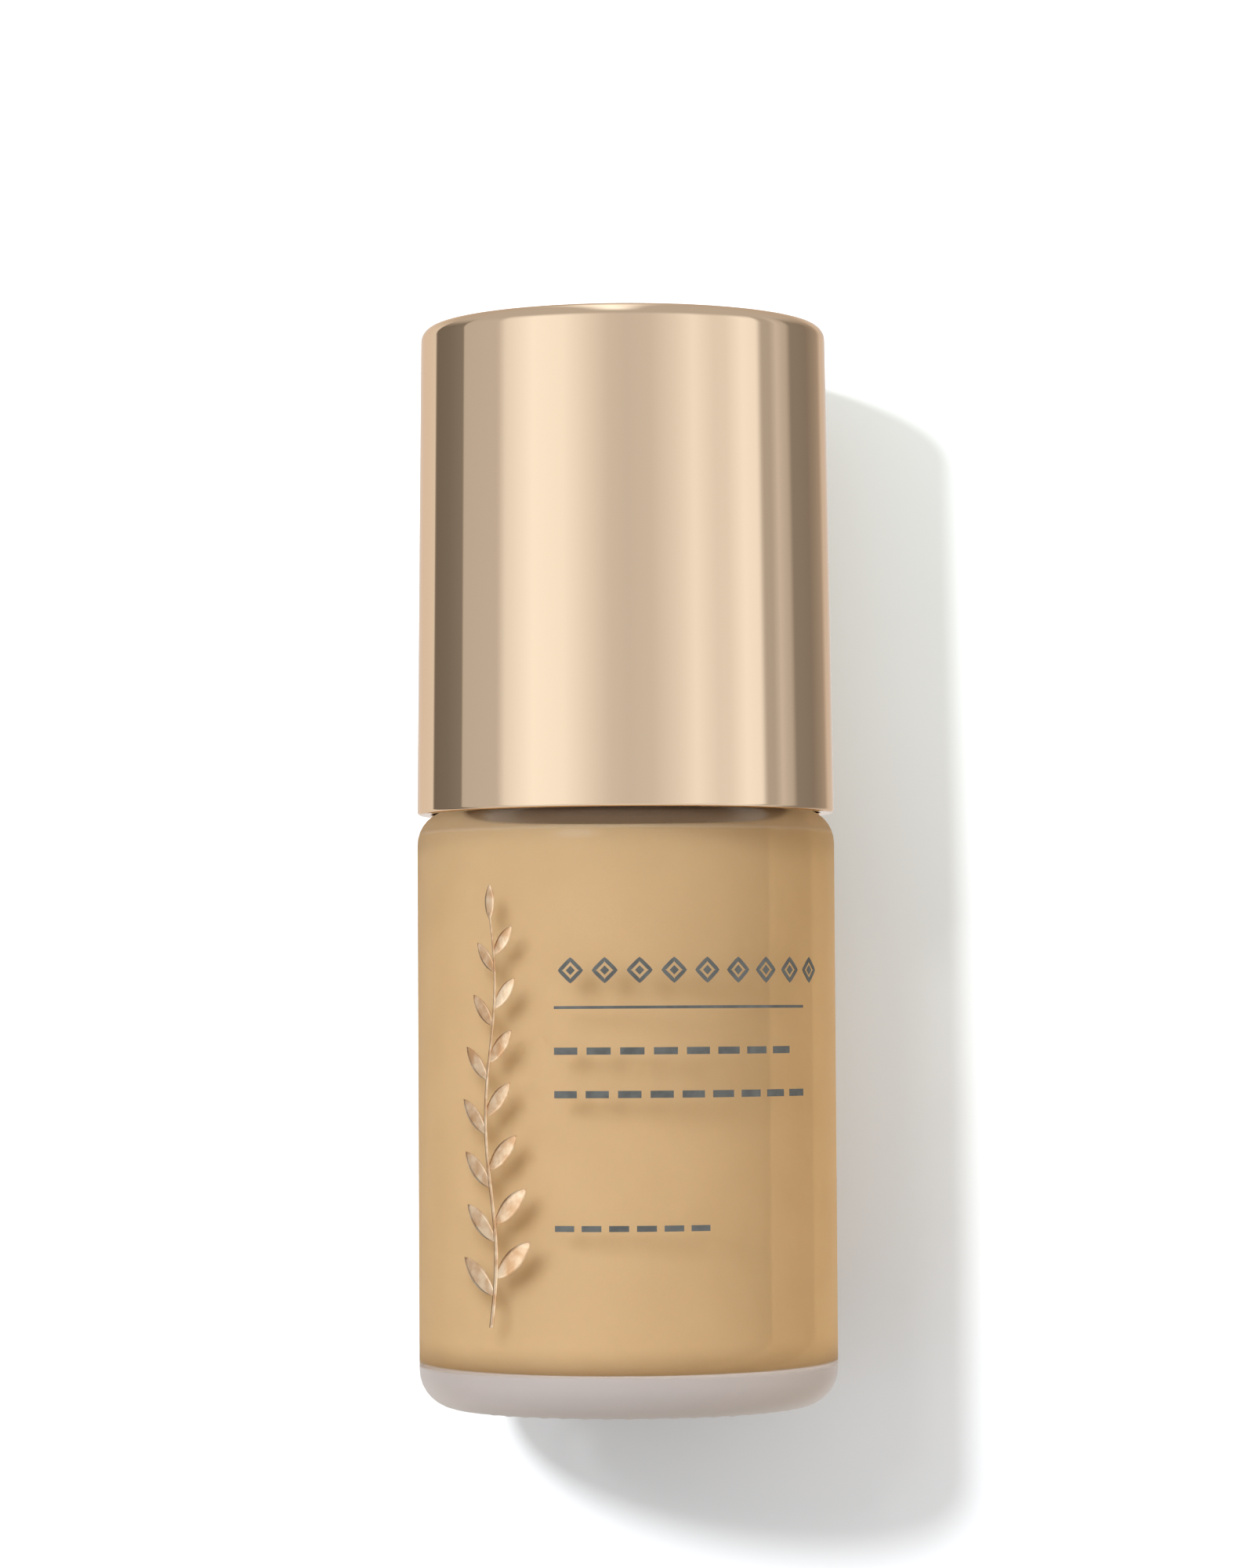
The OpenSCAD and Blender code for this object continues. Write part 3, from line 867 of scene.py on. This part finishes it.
@dataclass
class Thread:
    """The neck's screw thread, in millimetres."""

    crest_r: float = 8.8
    start_z: float = 59.34
    pitch: float = 3.175
    turns: float = 1.75
    root: float = 1.5
    crest: float = 0.7
    fade: float = math.radians(30)

    def reach(self, radius: float, height: float, angle: float) -> float:
        """The radius of the neck's surface with the thread on it.

        Args:
            radius: the plain neck's radius.
            height: height over the base.
            angle: angle from +X.

        Returns:
            The radius there.
        """
        best = radius
        for lap in range(3):
            along = angle + TURN * lap
            end = TURN * self.turns
            if along > end:
                break
            centre = self.start_z + self.pitch * along / TURN
            slope = (self.root / 2 - abs(height - centre)) / (self.root - self.crest) * 2
            rise = max(0.0, min(1.0, slope))
            rise = rise * rise * (3 - 2 * rise)
            ends = max(0.0, min(1.0, along / self.fade, (end - along) / self.fade))
            best = max(best, radius + (self.crest_r - radius) * rise * math.sin(ends * math.pi / 2))
        return best


@dataclass
class Bottle(Assembly):
    """The glass bottle with its bearing ring, and the label under it. Sizes in millimetres."""

    radius: float = 18.0
    shoulder: float = 51.4
    corner: float = 3.0
    foot_corner: float = 3.3
    wall: float = 3.8
    floor: float = 3.6
    ceiling: float = 49.4
    cavity_corner: float = 2.4
    neck_r: float = 7.8
    bore_r: float = 5.5
    lip: float = 66.6
    bead_r: float = 8.6
    bead_z: Point = (52.8, 54.0)
    thread_z: Point = (58.2, 65.9)
    thread_rows: int = 64
    recess_r: float = 13.0
    recess: float = 0.62
    ring_z: float = 0.1
    ring_r: float = 14.2
    stipples: int = 48
    stipple_r: float = 0.45
    thread: Thread = field(default_factory=Thread)

    def section(self) -> list[Point]:
        """The glass's section, outside and cavity in one closed outline.

        Returns:
            Its points, in order.
        """
        cavity = self.radius - self.wall
        bead_low, bead_high = self.bead_z
        low, high = self.thread_z
        lower = Outline.of(
            (0, self.recess), (self.recess_r, self.recess, 0.25), (self.recess_r + 0.3, self.ring_z, 0.25),
            (self.radius, self.ring_z, self.foot_corner), (self.radius, self.shoulder, self.corner),
            (self.neck_r, self.shoulder, 0.7), (self.neck_r, bead_low, 0.1), (self.bead_r, bead_low, 0.4),
            (self.bead_r, bead_high, 0.4), (self.neck_r, bead_high, 0.2), (self.neck_r, low),
        )
        upper = Outline.of(
            (self.neck_r, high), (self.neck_r, self.lip, 0.5), (self.bore_r, self.lip, 0.5),
            (self.bore_r, self.ceiling, 1.2), (cavity, self.ceiling, self.cavity_corner),
            (cavity, self.floor, self.cavity_corner), (0, self.floor),
        )
        rows = range(self.thread_rows + 1)
        threaded = [(self.neck_r, low + (high - low) * row / self.thread_rows) for row in rows]
        return lower.rounded()[:-1] + threaded + upper.rounded()[2:]

    def relief(self, radius: float, height: float, angle: float) -> float:
        """The glass's radius with the thread on its neck.

        Args:
            radius: the section's radius.
            height: the height over the base.
            angle: the angle from +X.

        Returns:
            The radius there.
        """
        low, high = self.thread_z
        if low - 0.1 < height < high + 0.1 and radius > self.neck_r - 0.1:
            return self.thread.reach(radius, height, angle)
        return radius

    def build(self) -> None:
        """Makes the glass, its stippled bearing ring and the label's finish."""
        glass = turned("bottle_glass", self.section(), 192, self.relief)
        self.wardrobe.dress(glass, Finishes.GLASS)
        self.settle(glass, "bottle", "frosted_glass", "glass_bottle")
        self.settle(self.bearing_ring(), "bottle", "frosted_glass")
        self.dress_nodes(Finishes.PAPER, "shade_label")

    def bearing_ring(self) -> Any:
        """The small raised points that the bottle stands on, in one ring under it.

        Returns:
            The new piece.
        """
        rule = Ruled("stipple ring")
        count = rule.count("Stipples", self.stipples)
        radius = rule.length("Ring radius", self.ring_r)
        size = rule.length("Stipple radius", self.stipple_r)
        depth = rule.length("Stipple depth", self.ring_z)
        dome = rule.made("MeshUVSphere", Segments=10, Rings=6, Radius=1.0)
        x, y, z = rule.place()
        dome = rule.move(dome, x * size, y * size, z * depth + depth)
        points = rule.made("Points", Count=count)
        angle = rule.index() * TURN / count
        ring = rule.move(points, radius * angle.math("COSINE"), radius * angle.math("SINE"), 0.0)
        stipples = rule.made("InstanceOnPoints", Points=ring, Instance=dome)
        return rule.bake("base_stipples", stipples, self.wardrobe.get(Finishes.GLASS))


@dataclass
class Filling(Assembly):
    """The foundation round the pump, which wets the cavity's wall. Sizes in millimetres."""

    radius: float = 14.2
    bottom: float = 3.6
    top: float = 48.9
    corner: float = 2.4
    wetting: float = 0.02
    meniscus: float = 0.35
    pump_hollow: tuple[Point, ...] = (
        (5.05, 48.9), (5.05, 45.25), (3.45, 45.25), (3.45, 41.37), (2.9, 41.37), (2.9, 35.87), (1.9, 35.87),
        (1.9, 4.65), (0.0, 4.65),
    )

    def build(self) -> None:
        """Makes the liquid, with its small meniscus against the glass."""
        r = self.radius + self.wetting
        low = self.bottom - self.wetting
        outline = Outline.of(
            (0, low), (r, low, self.corner), (r, self.top + self.meniscus, 0.08),
            (r - self.meniscus, self.top, self.meniscus), *self.pump_hollow,
        )
        liquid = self.turned_piece("foundation_liquid", outline, 160, Finishes.LIQUID)
        self.settle(liquid, "bottle", "foundation_liquid", "foundation_fill")


@dataclass
class MarkRow:
    """A row of equal marks round the body, in millimetres."""

    name: str
    count: int
    pitch: float
    width: float
    height: float
    z: float
    lozenge: bool = False


DASH = 0.72  # the share of its pitch that a dash takes


@dataclass
class Decoration(Assembly):
    """The foil sprig and the ink marks on the glass. Sizes in millimetres, angles in degrees."""

    radius: float = 18.0
    skin: float = 0.05
    sprig_turn: float = -39.4
    sprig_low: float = 7.7
    sprig_high: float = 44.7
    pairs: int = 7
    leaf: float = 4.9
    leaf_width: float = 1.7
    sway: float = 0.55
    waves: float = 1.5
    stem_width: float = 0.42
    stem_taper: float = 0.6
    stagger: float = 0.16
    tilt: float = 50.0
    tilt_fall: float = 14.0
    shrink: float = 0.42
    tip: float = 3.0
    ink_turn: float = -19.6
    stroke: float = 0.32
    core_share: float = 0.17
    rows: tuple[MarkRow, ...] = (
        MarkRow("lozenges", 9, 2.9, 2.3, 2.3, 37.4, True),
        MarkRow("rule", 1, 23.6, 23.6, 0.24, 34.32),
        MarkRow("upper dashes", 8, 2.8, 2.8 * DASH, 0.6, 30.7),
        MarkRow("middle dashes", 9, 2.7, 2.7 * DASH, 0.6, 27.1),
        MarkRow("lower dashes", 6, 2.3, 2.3 * DASH, 0.5, 16.0),
    )

    def build(self) -> None:
        """Makes the foil and the ink."""
        self.settle(self.sprig(), "bottle", "foil", "foil_sprig")
        self.settle(self.ink(), "bottle", "ink", "ink_frieze")

    def sprig(self) -> Any:
        """A wavy stem with pairs of leaves that get smaller towards its tip.

        Returns:
            The new piece.
        """
        rule = Ruled("foil sprig")
        graph = rule.graph
        radius = rule.length("Body radius", self.radius)
        turn = rule.size("Turn", math.radians(self.sprig_turn))
        skin = rule.length("Foil thickness", self.skin)
        sway = rule.length("Sway", self.sway)
        stalk = rule.length("Stalk", self.sprig_high - self.sprig_low - 0.8 * self.tip)
        stem = rule.length("Stem width", self.stem_width)
        length = rule.length("Leaf length", self.leaf)
        width = rule.length("Leaf width", self.leaf_width)
        pairs = rule.count("Leaf pairs", self.pairs)
        low = self.sprig_low * MM

        x, y, z = rule.place()
        along = z + 0.5
        bend = (along * (TURN * self.waves)).math("SINE") * sway
        side_place = x * stem * (1 - self.stem_taper * along) + bend
        depth = (y + 0.5) * skin * 1.15 - skin * 0.15
        parts = [rule.move(rule.block(5, 2, 90), side_place, depth, along * stalk + low)]
        for side in (-1, 1):
            share = (rule.index() + (0.75 + side * self.stagger)) / (pairs + 0.7)
            base = (share * (TURN * self.waves)).math("SINE") * sway
            dots = rule.move(rule.made("Points", Count=pairs), base, 0.0, share * stalk + low)
            lean = math.radians(self.tilt) - math.radians(self.tilt_fall) * share
            tilt = graph.vector(0.0, side * lean, 0.0)
            scale = 1 - self.shrink * share
            size = graph.vector(scale, 1.0, scale)
            leaf = self.blade(rule, length, width, skin)
            parts.append(rule.made("InstanceOnPoints", Points=dots, Instance=leaf, Rotation=tilt, Scale=size))
        crown = self.blade(rule, length * (self.tip / self.leaf), width * 0.6, skin)
        end = math.sin(TURN * self.waves) * sway
        lift = graph.vector(end, 0.0, (self.sprig_high - self.tip) * MM)
        parts.append(rule.made("Transform", Geometry=crown, Translation=lift))
        wrapped = rule.wrap(rule.join(*parts), radius, turn)
        return rule.bake("foil_sprig_leaves", wrapped, self.wardrobe.get(Finishes.FOIL))

    def blade(self, rule: Ruled, length: Any, width: Any, skin: Any) -> Any:
        """One pointed leaf that stands on its stalk end, a little raised along its midrib.

        Args:
            rule: the geometry tree that it is part of.
            length: its length.
            width: its greatest width.
            skin: the thickness, in metres.

        Returns:
            The geometry of the leaf.
        """
        x, y, z = rule.place()
        along = z + 0.5
        wide = (along * (1 - along) * 4).math("POWER", 0.9) * 0.96 + 0.04
        rise = 1 - 0.35 * (x * x * 4)
        depth = (y + 0.5) * skin * rise - skin * 0.2
        return rule.move(rule.block(7, 2, 15), x * width * wide, depth, along * length)

    def ink(self) -> Any:
        """Every row of ink marks, in one piece.

        Returns:
            The new piece.
        """
        baked = [self.row(row) for row in self.rows]
        with bpy.context.temp_override(active_object=baked[0], selected_editable_objects=baked):
            bpy.ops.object.join()
        baked[0].name = "ink_marks"
        baked[0].data.name = "ink_marks"
        return baked[0]

    def lozenge(self, rule: Ruled, width: Any, height: Any, skin: Any) -> Any:
        """An open lozenge with a small full one in its middle.

        Args:
            rule: the geometry tree that it is part of.
            width: its width.
            height: its height.
            skin: the thickness, in metres.

        Returns:
            The geometry of the lozenge.
        """
        half = math.sqrt(0.5)
        stroke = rule.length("Stroke", self.stroke)
        side = (width - stroke * 1.4) * half
        square = rule.made("CurvePrimitiveQuadrilateral", Width=side, Height=side)
        edge = rule.made("ResampleCurve", Curve=square, Count=24)
        section = rule.made("CurvePrimitiveQuadrilateral", Width=stroke, Height=skin)
        tube = rule.made("CurveToMesh", Curve=edge, Profile_Curve=section)
        x, y, z = rule.place()
        border = rule.move(tube, (x + y) * half, z + skin * 0.5, (x - y) * half)
        across, up = (x + z) * width * self.core_share, (z - x) * height * self.core_share
        return rule.join(border, rule.move(rule.block(5, 2, 5), across, (y + 0.5) * skin, up))

    def row(self, row: MarkRow) -> Any:
        """One row of marks.

        Args:
            row: its number, spacing, sizes and height.

        Returns:
            The row's object.
        """
        rule = Ruled(row.name)
        radius = rule.length("Body radius", self.radius)
        turn = rule.size("Turn", math.radians(self.ink_turn))
        skin = rule.length("Ink thickness", self.skin)
        pitch = rule.length("Spacing", row.pitch)
        width = rule.length("Mark width", row.width)
        height = rule.length("Mark height", row.height)
        count = rule.count("Marks", row.count)
        x, y, z = rule.place()
        depth = (y + 0.5) * skin
        if row.lozenge:
            mark = self.lozenge(rule, width, height, skin)
            shift = row.pitch * 0.5
        else:
            mark = rule.move(rule.block(max(6, int(row.width * 2)), 2, 2), x * width, depth, z * height)
            shift = row.width * 0.5
        points = rule.made("Points", Count=count)
        dots = rule.move(points, rule.index() * pitch + shift * MM, 0.0, row.z * MM)
        marks = rule.made("InstanceOnPoints", Points=dots, Instance=mark)
        wrapped = rule.wrap(rule.made("RealizeInstances", Geometry=marks), radius, turn)
        return rule.bake(row.name, wrapped, self.wardrobe.get(Finishes.INK), smooth=False)


@dataclass
class OverCap(Assembly):
    """The tall metallised cap with its plastic liner. Sizes in millimetres."""

    rim: float = 51.0
    top: float = 93.2
    rim_r: float = 18.0
    top_r: float = 17.5
    edge: float = 1.2
    bore_r: float = 16.4
    lip_r: float = 16.85
    lip_z: float = 53.4
    ceiling: float = 91.8

    def build(self) -> None:
        """Makes the shell, and gives the liner its finish."""
        outline = Outline.of(
            (self.lip_r, self.rim, 0.12), (self.rim_r, self.rim, 0.3), (self.top_r, self.top, self.edge),
            (0, self.top), (0, self.ceiling), (self.bore_r, self.ceiling, 0.3), (self.bore_r, self.lip_z),
            (self.lip_r, self.lip_z, 0.1), steps=12,
        )
        shell = self.turned_piece("cap_metal_shell", outline, 224, Finishes.ROSE_GOLD)
        self.settle(shell, "over_cap", "rose_gold_plastic", "cap_shell")
        self.dress_nodes(Finishes.WHITE_PLASTIC, "cap_liner")


@dataclass
class Closure(Assembly):
    """The screw closure and the metallised collar on it. Sizes in millimetres."""

    low: float = 52.0
    top: float = 71.3
    outer: float = 12.5
    inner: float = 11.6
    edge: float = 0.6
    hole: float = 5.2
    web: float = 0.9

    def build(self) -> None:
        """Makes the collar, and gives the closure its finish."""
        under = self.top - self.web
        outline = Outline.of(
            (self.inner, self.low, 0.1), (self.outer, self.low, 0.2), (self.outer, self.top, self.edge),
            (self.hole, self.top, 0.2), (self.hole, under, 0.05), (self.inner, under, 0.2),
        )
        collar = self.turned_piece("collar_metal_sleeve", outline, 192, Finishes.ROSE_GOLD)
        self.settle(collar, "closure", "rose_gold_plastic", "collar_sleeve")
        self.dress_nodes(Finishes.WHITE_PLASTIC, "screw_closure")


@dataclass
class PumpEngine(Assembly):
    """What works inside the neck. Sizes in millimetres."""

    coil_d: float = 5.4
    wire: float = 0.45
    turns: float = 7.0
    turn_points: int = 28
    flattening: float = 0.63
    low: float = 47.0
    high: float = 56.0
    pressed: float = 4.2

    def build(self) -> None:
        """Makes the spring, and gives the other parts their finishes."""
        spring = self.spring()
        self.settle(spring, "pump", "stainless_steel", "return_spring")
        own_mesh(spring)
        self.dress_nodes(Finishes.CLEAR_PLASTIC, "pump_housing", "dip_tube")
        self.dress_nodes(Finishes.WHITE_PLASTIC, "lock_ring", "pump_stem", "valve_plug")
        self.dress_nodes(Finishes.FOAM, "neck_gasket")
        self.dress_nodes(Finishes.SEAL, "piston_seal")
        self.dress_nodes(Finishes.STEEL, "inlet_ball")

    def spring(self) -> Any:
        """The return spring: an open coil whose end turns lie flat.

        Returns:
            The new piece.
        """
        rule = Ruled("return spring")
        graph = rule.graph
        radius = rule.length("Coil radius", self.coil_d / 2)
        wire = rule.length("Wire radius", self.wire / 2)
        height = rule.length("Coil height", self.high - self.low - self.wire)
        turns = rule.size("Turns", self.turns)
        points = int(self.turns) * self.turn_points
        dense = rule.made("ResampleCurve", Curve=rule.made("CurvePrimitiveLine"), Count=points)
        share = Num(graph, graph.add("GeometryNodeSplineParameter").outputs["Factor"])
        angle = share * turns * TURN
        rise = share - (share * TURN).math("SINE") * (self.flattening / TURN)
        up = rise * height + (self.low + self.wire / 2) * MM
        coil = rule.move(dense, radius * angle.math("COSINE"), radius * angle.math("SINE"), up)
        ring = rule.made("CurvePrimitiveCircle", Resolution=8, Radius=wire)
        tube = rule.made("CurveToMesh", Curve=coil, Profile_Curve=ring, Fill_Caps=True)
        return rule.bake("return_spring_coil", tube, self.wardrobe.get(Finishes.STEEL))


@dataclass
class PumpHead(Assembly):
    """The button with its spout."""

    def build(self) -> None:
        """Gives the head's parts their finishes."""
        self.dress_nodes(Finishes.ROSE_GOLD, "head_shell")
        self.dress_nodes(Finishes.WHITE_PLASTIC, "head_core", "nozzle_insert")


# ---------------------------------------------------------------- studio


@dataclass
class Studio:
    """Light, backdrop and camera. Millimetres and degrees, but metres for the lamp's distance and radius.

    The levels are how bright the surroundings are round the object, by azimuth, which is 0 in front of it and
    grows to its right. The dome's two levels are those of its plain part and of the lamp in it.
    """

    backdrop_y: float = 18.35
    camera_distance: float = 443.0
    camera_height: float = 33.3
    camera_side: float = 0.14
    pitch: float = 2.63
    roll: float = -0.345
    lens: float = 117.7
    lamp_distance: float = 1.0
    lamp_radius: float = 0.062
    lamp_aim: float = 46.6
    gain: float = 1.4
    fill: Point = (1.23, 1.15)
    fill_warmth: Point = (0.025, 0.05)
    floor_share: float = 0.15
    dome: Point = (0.6, 1.6)
    dome_edge: Point = (0.3, 0.62)
    dome_lamp: Point = (0.72, 0.98)
    dome_lamp_x: float = -0.06
    dome_lamp_width: float = 0.22
    ground_edge: Point = (-0.75, -0.5)
    ground: float = 0.85
    white: float = 1.05
    key_way: tuple[float, float, float] = (0.542, 1.0, -0.385)
    key_energy: float = 1.5
    key_colour: Colour = (0.85, 1.0, 1.3)
    key_angle: float = 22.0
    near_light: float = 3.0
    backdrop_half: float = 1500.0
    # painted shade: the backdrop is darker towards the bottom, deepening the object's shadow under its base,
    # and bluish against the warm fill so that the shadow stays neutral
    backdrop_painted_shade_range: Point = (-30.0, 90.0)
    backdrop_low_painted_shade: Colour = (0.70, 0.725, 0.755)
    backdrop_high_painted_shade: Colour = (0.91, 0.98, 1.0)
    levels: tuple[Point, ...] = (
        (-180, 0.80), (-133, 0.90), (-132, 0.2), (-116, 0.22), (-102.5, 0.27), (-101.5, 0.62), (-75, 0.66),
        (-69.5, 1.0), (-52, 1.27), (-34, 1.2), (-19, 0.95), (-8, 0.77), (2, 0.72), (15, 0.76), (29, 0.95),
        (40, 1.14), (53, 0.95), (60, 0.97), (71, 1.2), (81, 1.14), (85, 0.53), (91, 0.52), (97, 0.72),
        (106, 0.56), (110, 0.3), (128, 0.28), (145, 0.44), (152, 0.75), (180, 0.80),
    )

    def build(self) -> None:
        """Makes the lights, the backdrop and the camera."""
        scene = bpy.context.scene
        scene.view_settings.view_transform = "Standard"
        self.world(scene)
        backdrop = self.backdrop()
        self.lamps(backdrop)
        self.camera(scene)

    def tinted(self, level: float) -> Colour:
        """A studio brightness as a colour: warm where dark, a little cool where bright."""
        return self.warm(level, 0.05 * max(-1.0, min(1.0, (0.85 - level) / 0.6)))

    def warm(self, level: float, warmth: float) -> Colour:
        """A brightness as a colour, whose red is above and whose blue is below it by the warmth."""
        return tuple(level / self.gain * factor for factor in (1 + warmth, 1.0, 1 - warmth))

    def world(self, scene: Any) -> None:
        """Soft boxes and dark flags round the object, pale floor below, white to the camera.

        Args:
            scene: the scene that it lights.
        """
        world = bpy.data.worlds.new("soft studio")
        scene.world = world
        world.use_nodes = True
        graph = Graph(world.node_tree)
        direction = graph.add("ShaderNodeTexCoord").outputs["Generated"]
        x, y, z = graph.axes(direction)
        azimuth = x.math("ARCTAN2", -y)
        place = azimuth / TURN + 0.5
        stops = [((angle + 180) / 360, self.tinted(level)) for angle, level in self.levels]
        ramp = graph.add("ShaderNodeValToRGB", {"stops": stops}, {0: place}).outputs[0]
        above = z.step(*self.dome_edge)
        aside = (x - self.dome_lamp_x).math("ABSOLUTE")
        lamp = z.step(*self.dome_lamp) * (1 - aside.step(0.0, self.dome_lamp_width))
        dome = graph.mix(lamp, self.tinted(self.dome[0]), self.tinted(self.dome[1]))
        below = 1 - z.step(*self.ground_edge)
        shades = graph.mix(above, ramp, dome)
        shades = graph.mix(below, shades, self.tinted(self.ground))
        paths = graph.add("ShaderNodeLightPath").outputs
        seen = paths["Is Camera Ray"]
        mirrored = Num(graph, paths["Is Glossy Ray"]) * (1 - Num(graph, paths["Is Transmission Ray"]))
        left, right = (self.warm(level, warmth) for level, warmth in zip(self.fill, self.fill_warmth))
        soft = graph.mix(x * 0.5 + 0.5, left, right)
        soft = graph.mix((-z).step(0.0, 0.9) * (1 - self.floor_share), soft, (0.0, 0.0, 0.0))
        shades = graph.mix(mirrored, soft, shades)
        light = graph.add("ShaderNodeBackground", None, {0: shades, 1: self.gain})
        white = graph.add("ShaderNodeBackground", None, {0: (1.0, 1.0, 1.0), 1: self.white})
        graph.add("ShaderNodeOutputWorld", None, {"Surface": graph.blend(seen, light, white)})

    def backdrop(self) -> Any:
        """The pale surface that the object's shadow falls on, seen from its front only; it is painted darker
        towards the bottom, painted shade that deepens that shadow under the object's base.
        """
        half = self.backdrop_half * MM
        y = self.backdrop_y * MM
        mesh = bpy.data.meshes.new("pale_floor")
        corners = [(-half, y, -half), (half, y, -half), (half, y, half), (-half, y, half)]
        mesh.from_pydata(corners, [], [(0, 1, 2, 3)])
        obj = placed("pale_floor", mesh)
        material = bpy.data.materials.new("pale floor")
        material.use_nodes = True
        graph = Graph(material.node_tree)
        place = graph.object_place()
        low, high = self.backdrop_painted_shade_range
        # painted shade: the backdrop's colour darkens towards the bottom
        height = graph.axes(place)[2].step(low * MM, high * MM)
        grain = 0.96 + 0.04 * graph.noise(place, 30.0)
        shade = graph.mix(height, self.backdrop_low_painted_shade, self.backdrop_high_painted_shade)
        tint = graph.add("ShaderNodeVectorMath", {"operation": "SCALE"}, {0: shade, "Scale": grain})
        matt = graph.add("ShaderNodeBsdfDiffuse", None, {"Color": tint})
        clear = graph.add("ShaderNodeBsdfTransparent")
        graph.add("ShaderNodeOutputMaterial", None, {"Surface": graph.blend(graph.leaving(), matt, clear)})
        mesh.materials.append(material)
        for ray in ("diffuse", "glossy", "transmission", "volume_scatter", "shadow"):
            setattr(obj, "visible_" + ray, False)
        return obj

    def lamps(self, backdrop: Any) -> None:
        """A broad key light for the object, and a small near one from the same side for its shadow.

        Args:
            backdrop: the surface that the shadow falls on.
        """
        towards = Vector(self.key_way).normalized()
        meshes = [child for child in bpy.context.scene.objects if child.type == "MESH"]
        parts = [mesh for mesh in meshes if mesh is not backdrop]
        broad = bpy.data.lights.new("key for the object", "SUN")
        broad.energy = self.key_energy
        broad.color = self.key_colour
        broad.angle = math.radians(self.key_angle)
        near = bpy.data.lights.new("key for the floor", "POINT")
        near.energy = self.near_light * 2 * TURN * self.lamp_distance**2
        near.shadow_soft_size = self.lamp_radius
        for data, lit in ((broad, parts), (near, [backdrop])):
            lamp = placed(data.name, data)
            lamp.rotation_euler = towards.to_track_quat("-Z", "Y").to_euler()
            lamp.location = Vector((0.0, 0.0, self.lamp_aim * MM)) - towards * self.lamp_distance
            lamp.visible_glossy = False
            group = bpy.data.collections.new(data.name)
            for obj in lit:
                group.objects.link(obj)
            lamp.light_linking.receiver_collection = group

    def camera(self, scene: Any) -> None:
        """The camera, low in front of the object and tipped up a little.

        Args:
            scene: the scene that gets it.
        """
        data = bpy.data.cameras.new("camera")
        data.lens = self.lens
        data.sensor_width = 36.0
        data.sensor_fit = "AUTO"
        data.clip_start = 0.01
        camera = placed("camera", data)
        camera.location = (self.camera_side * MM, -self.camera_distance * MM, self.camera_height * MM)
        tip = Euler((math.radians(90 + self.pitch), 0, 0)).to_matrix()
        spin = Euler((0, 0, math.radians(self.roll))).to_matrix()
        camera.rotation_euler = (tip @ spin).to_euler()
        scene.camera = camera


def main() -> None:
    """Builds every sub-assembly, then the studio."""
    logging.basicConfig(level=logging.INFO, format="%(name)s: %(message)s")
    wardrobe = Wardrobe()
    for assembly in (Bottle, Filling, Decoration, OverCap, Closure, PumpEngine, PumpHead):
        assembly(wardrobe).build()
    Studio().build()


if __name__ == "__main__":
    main()
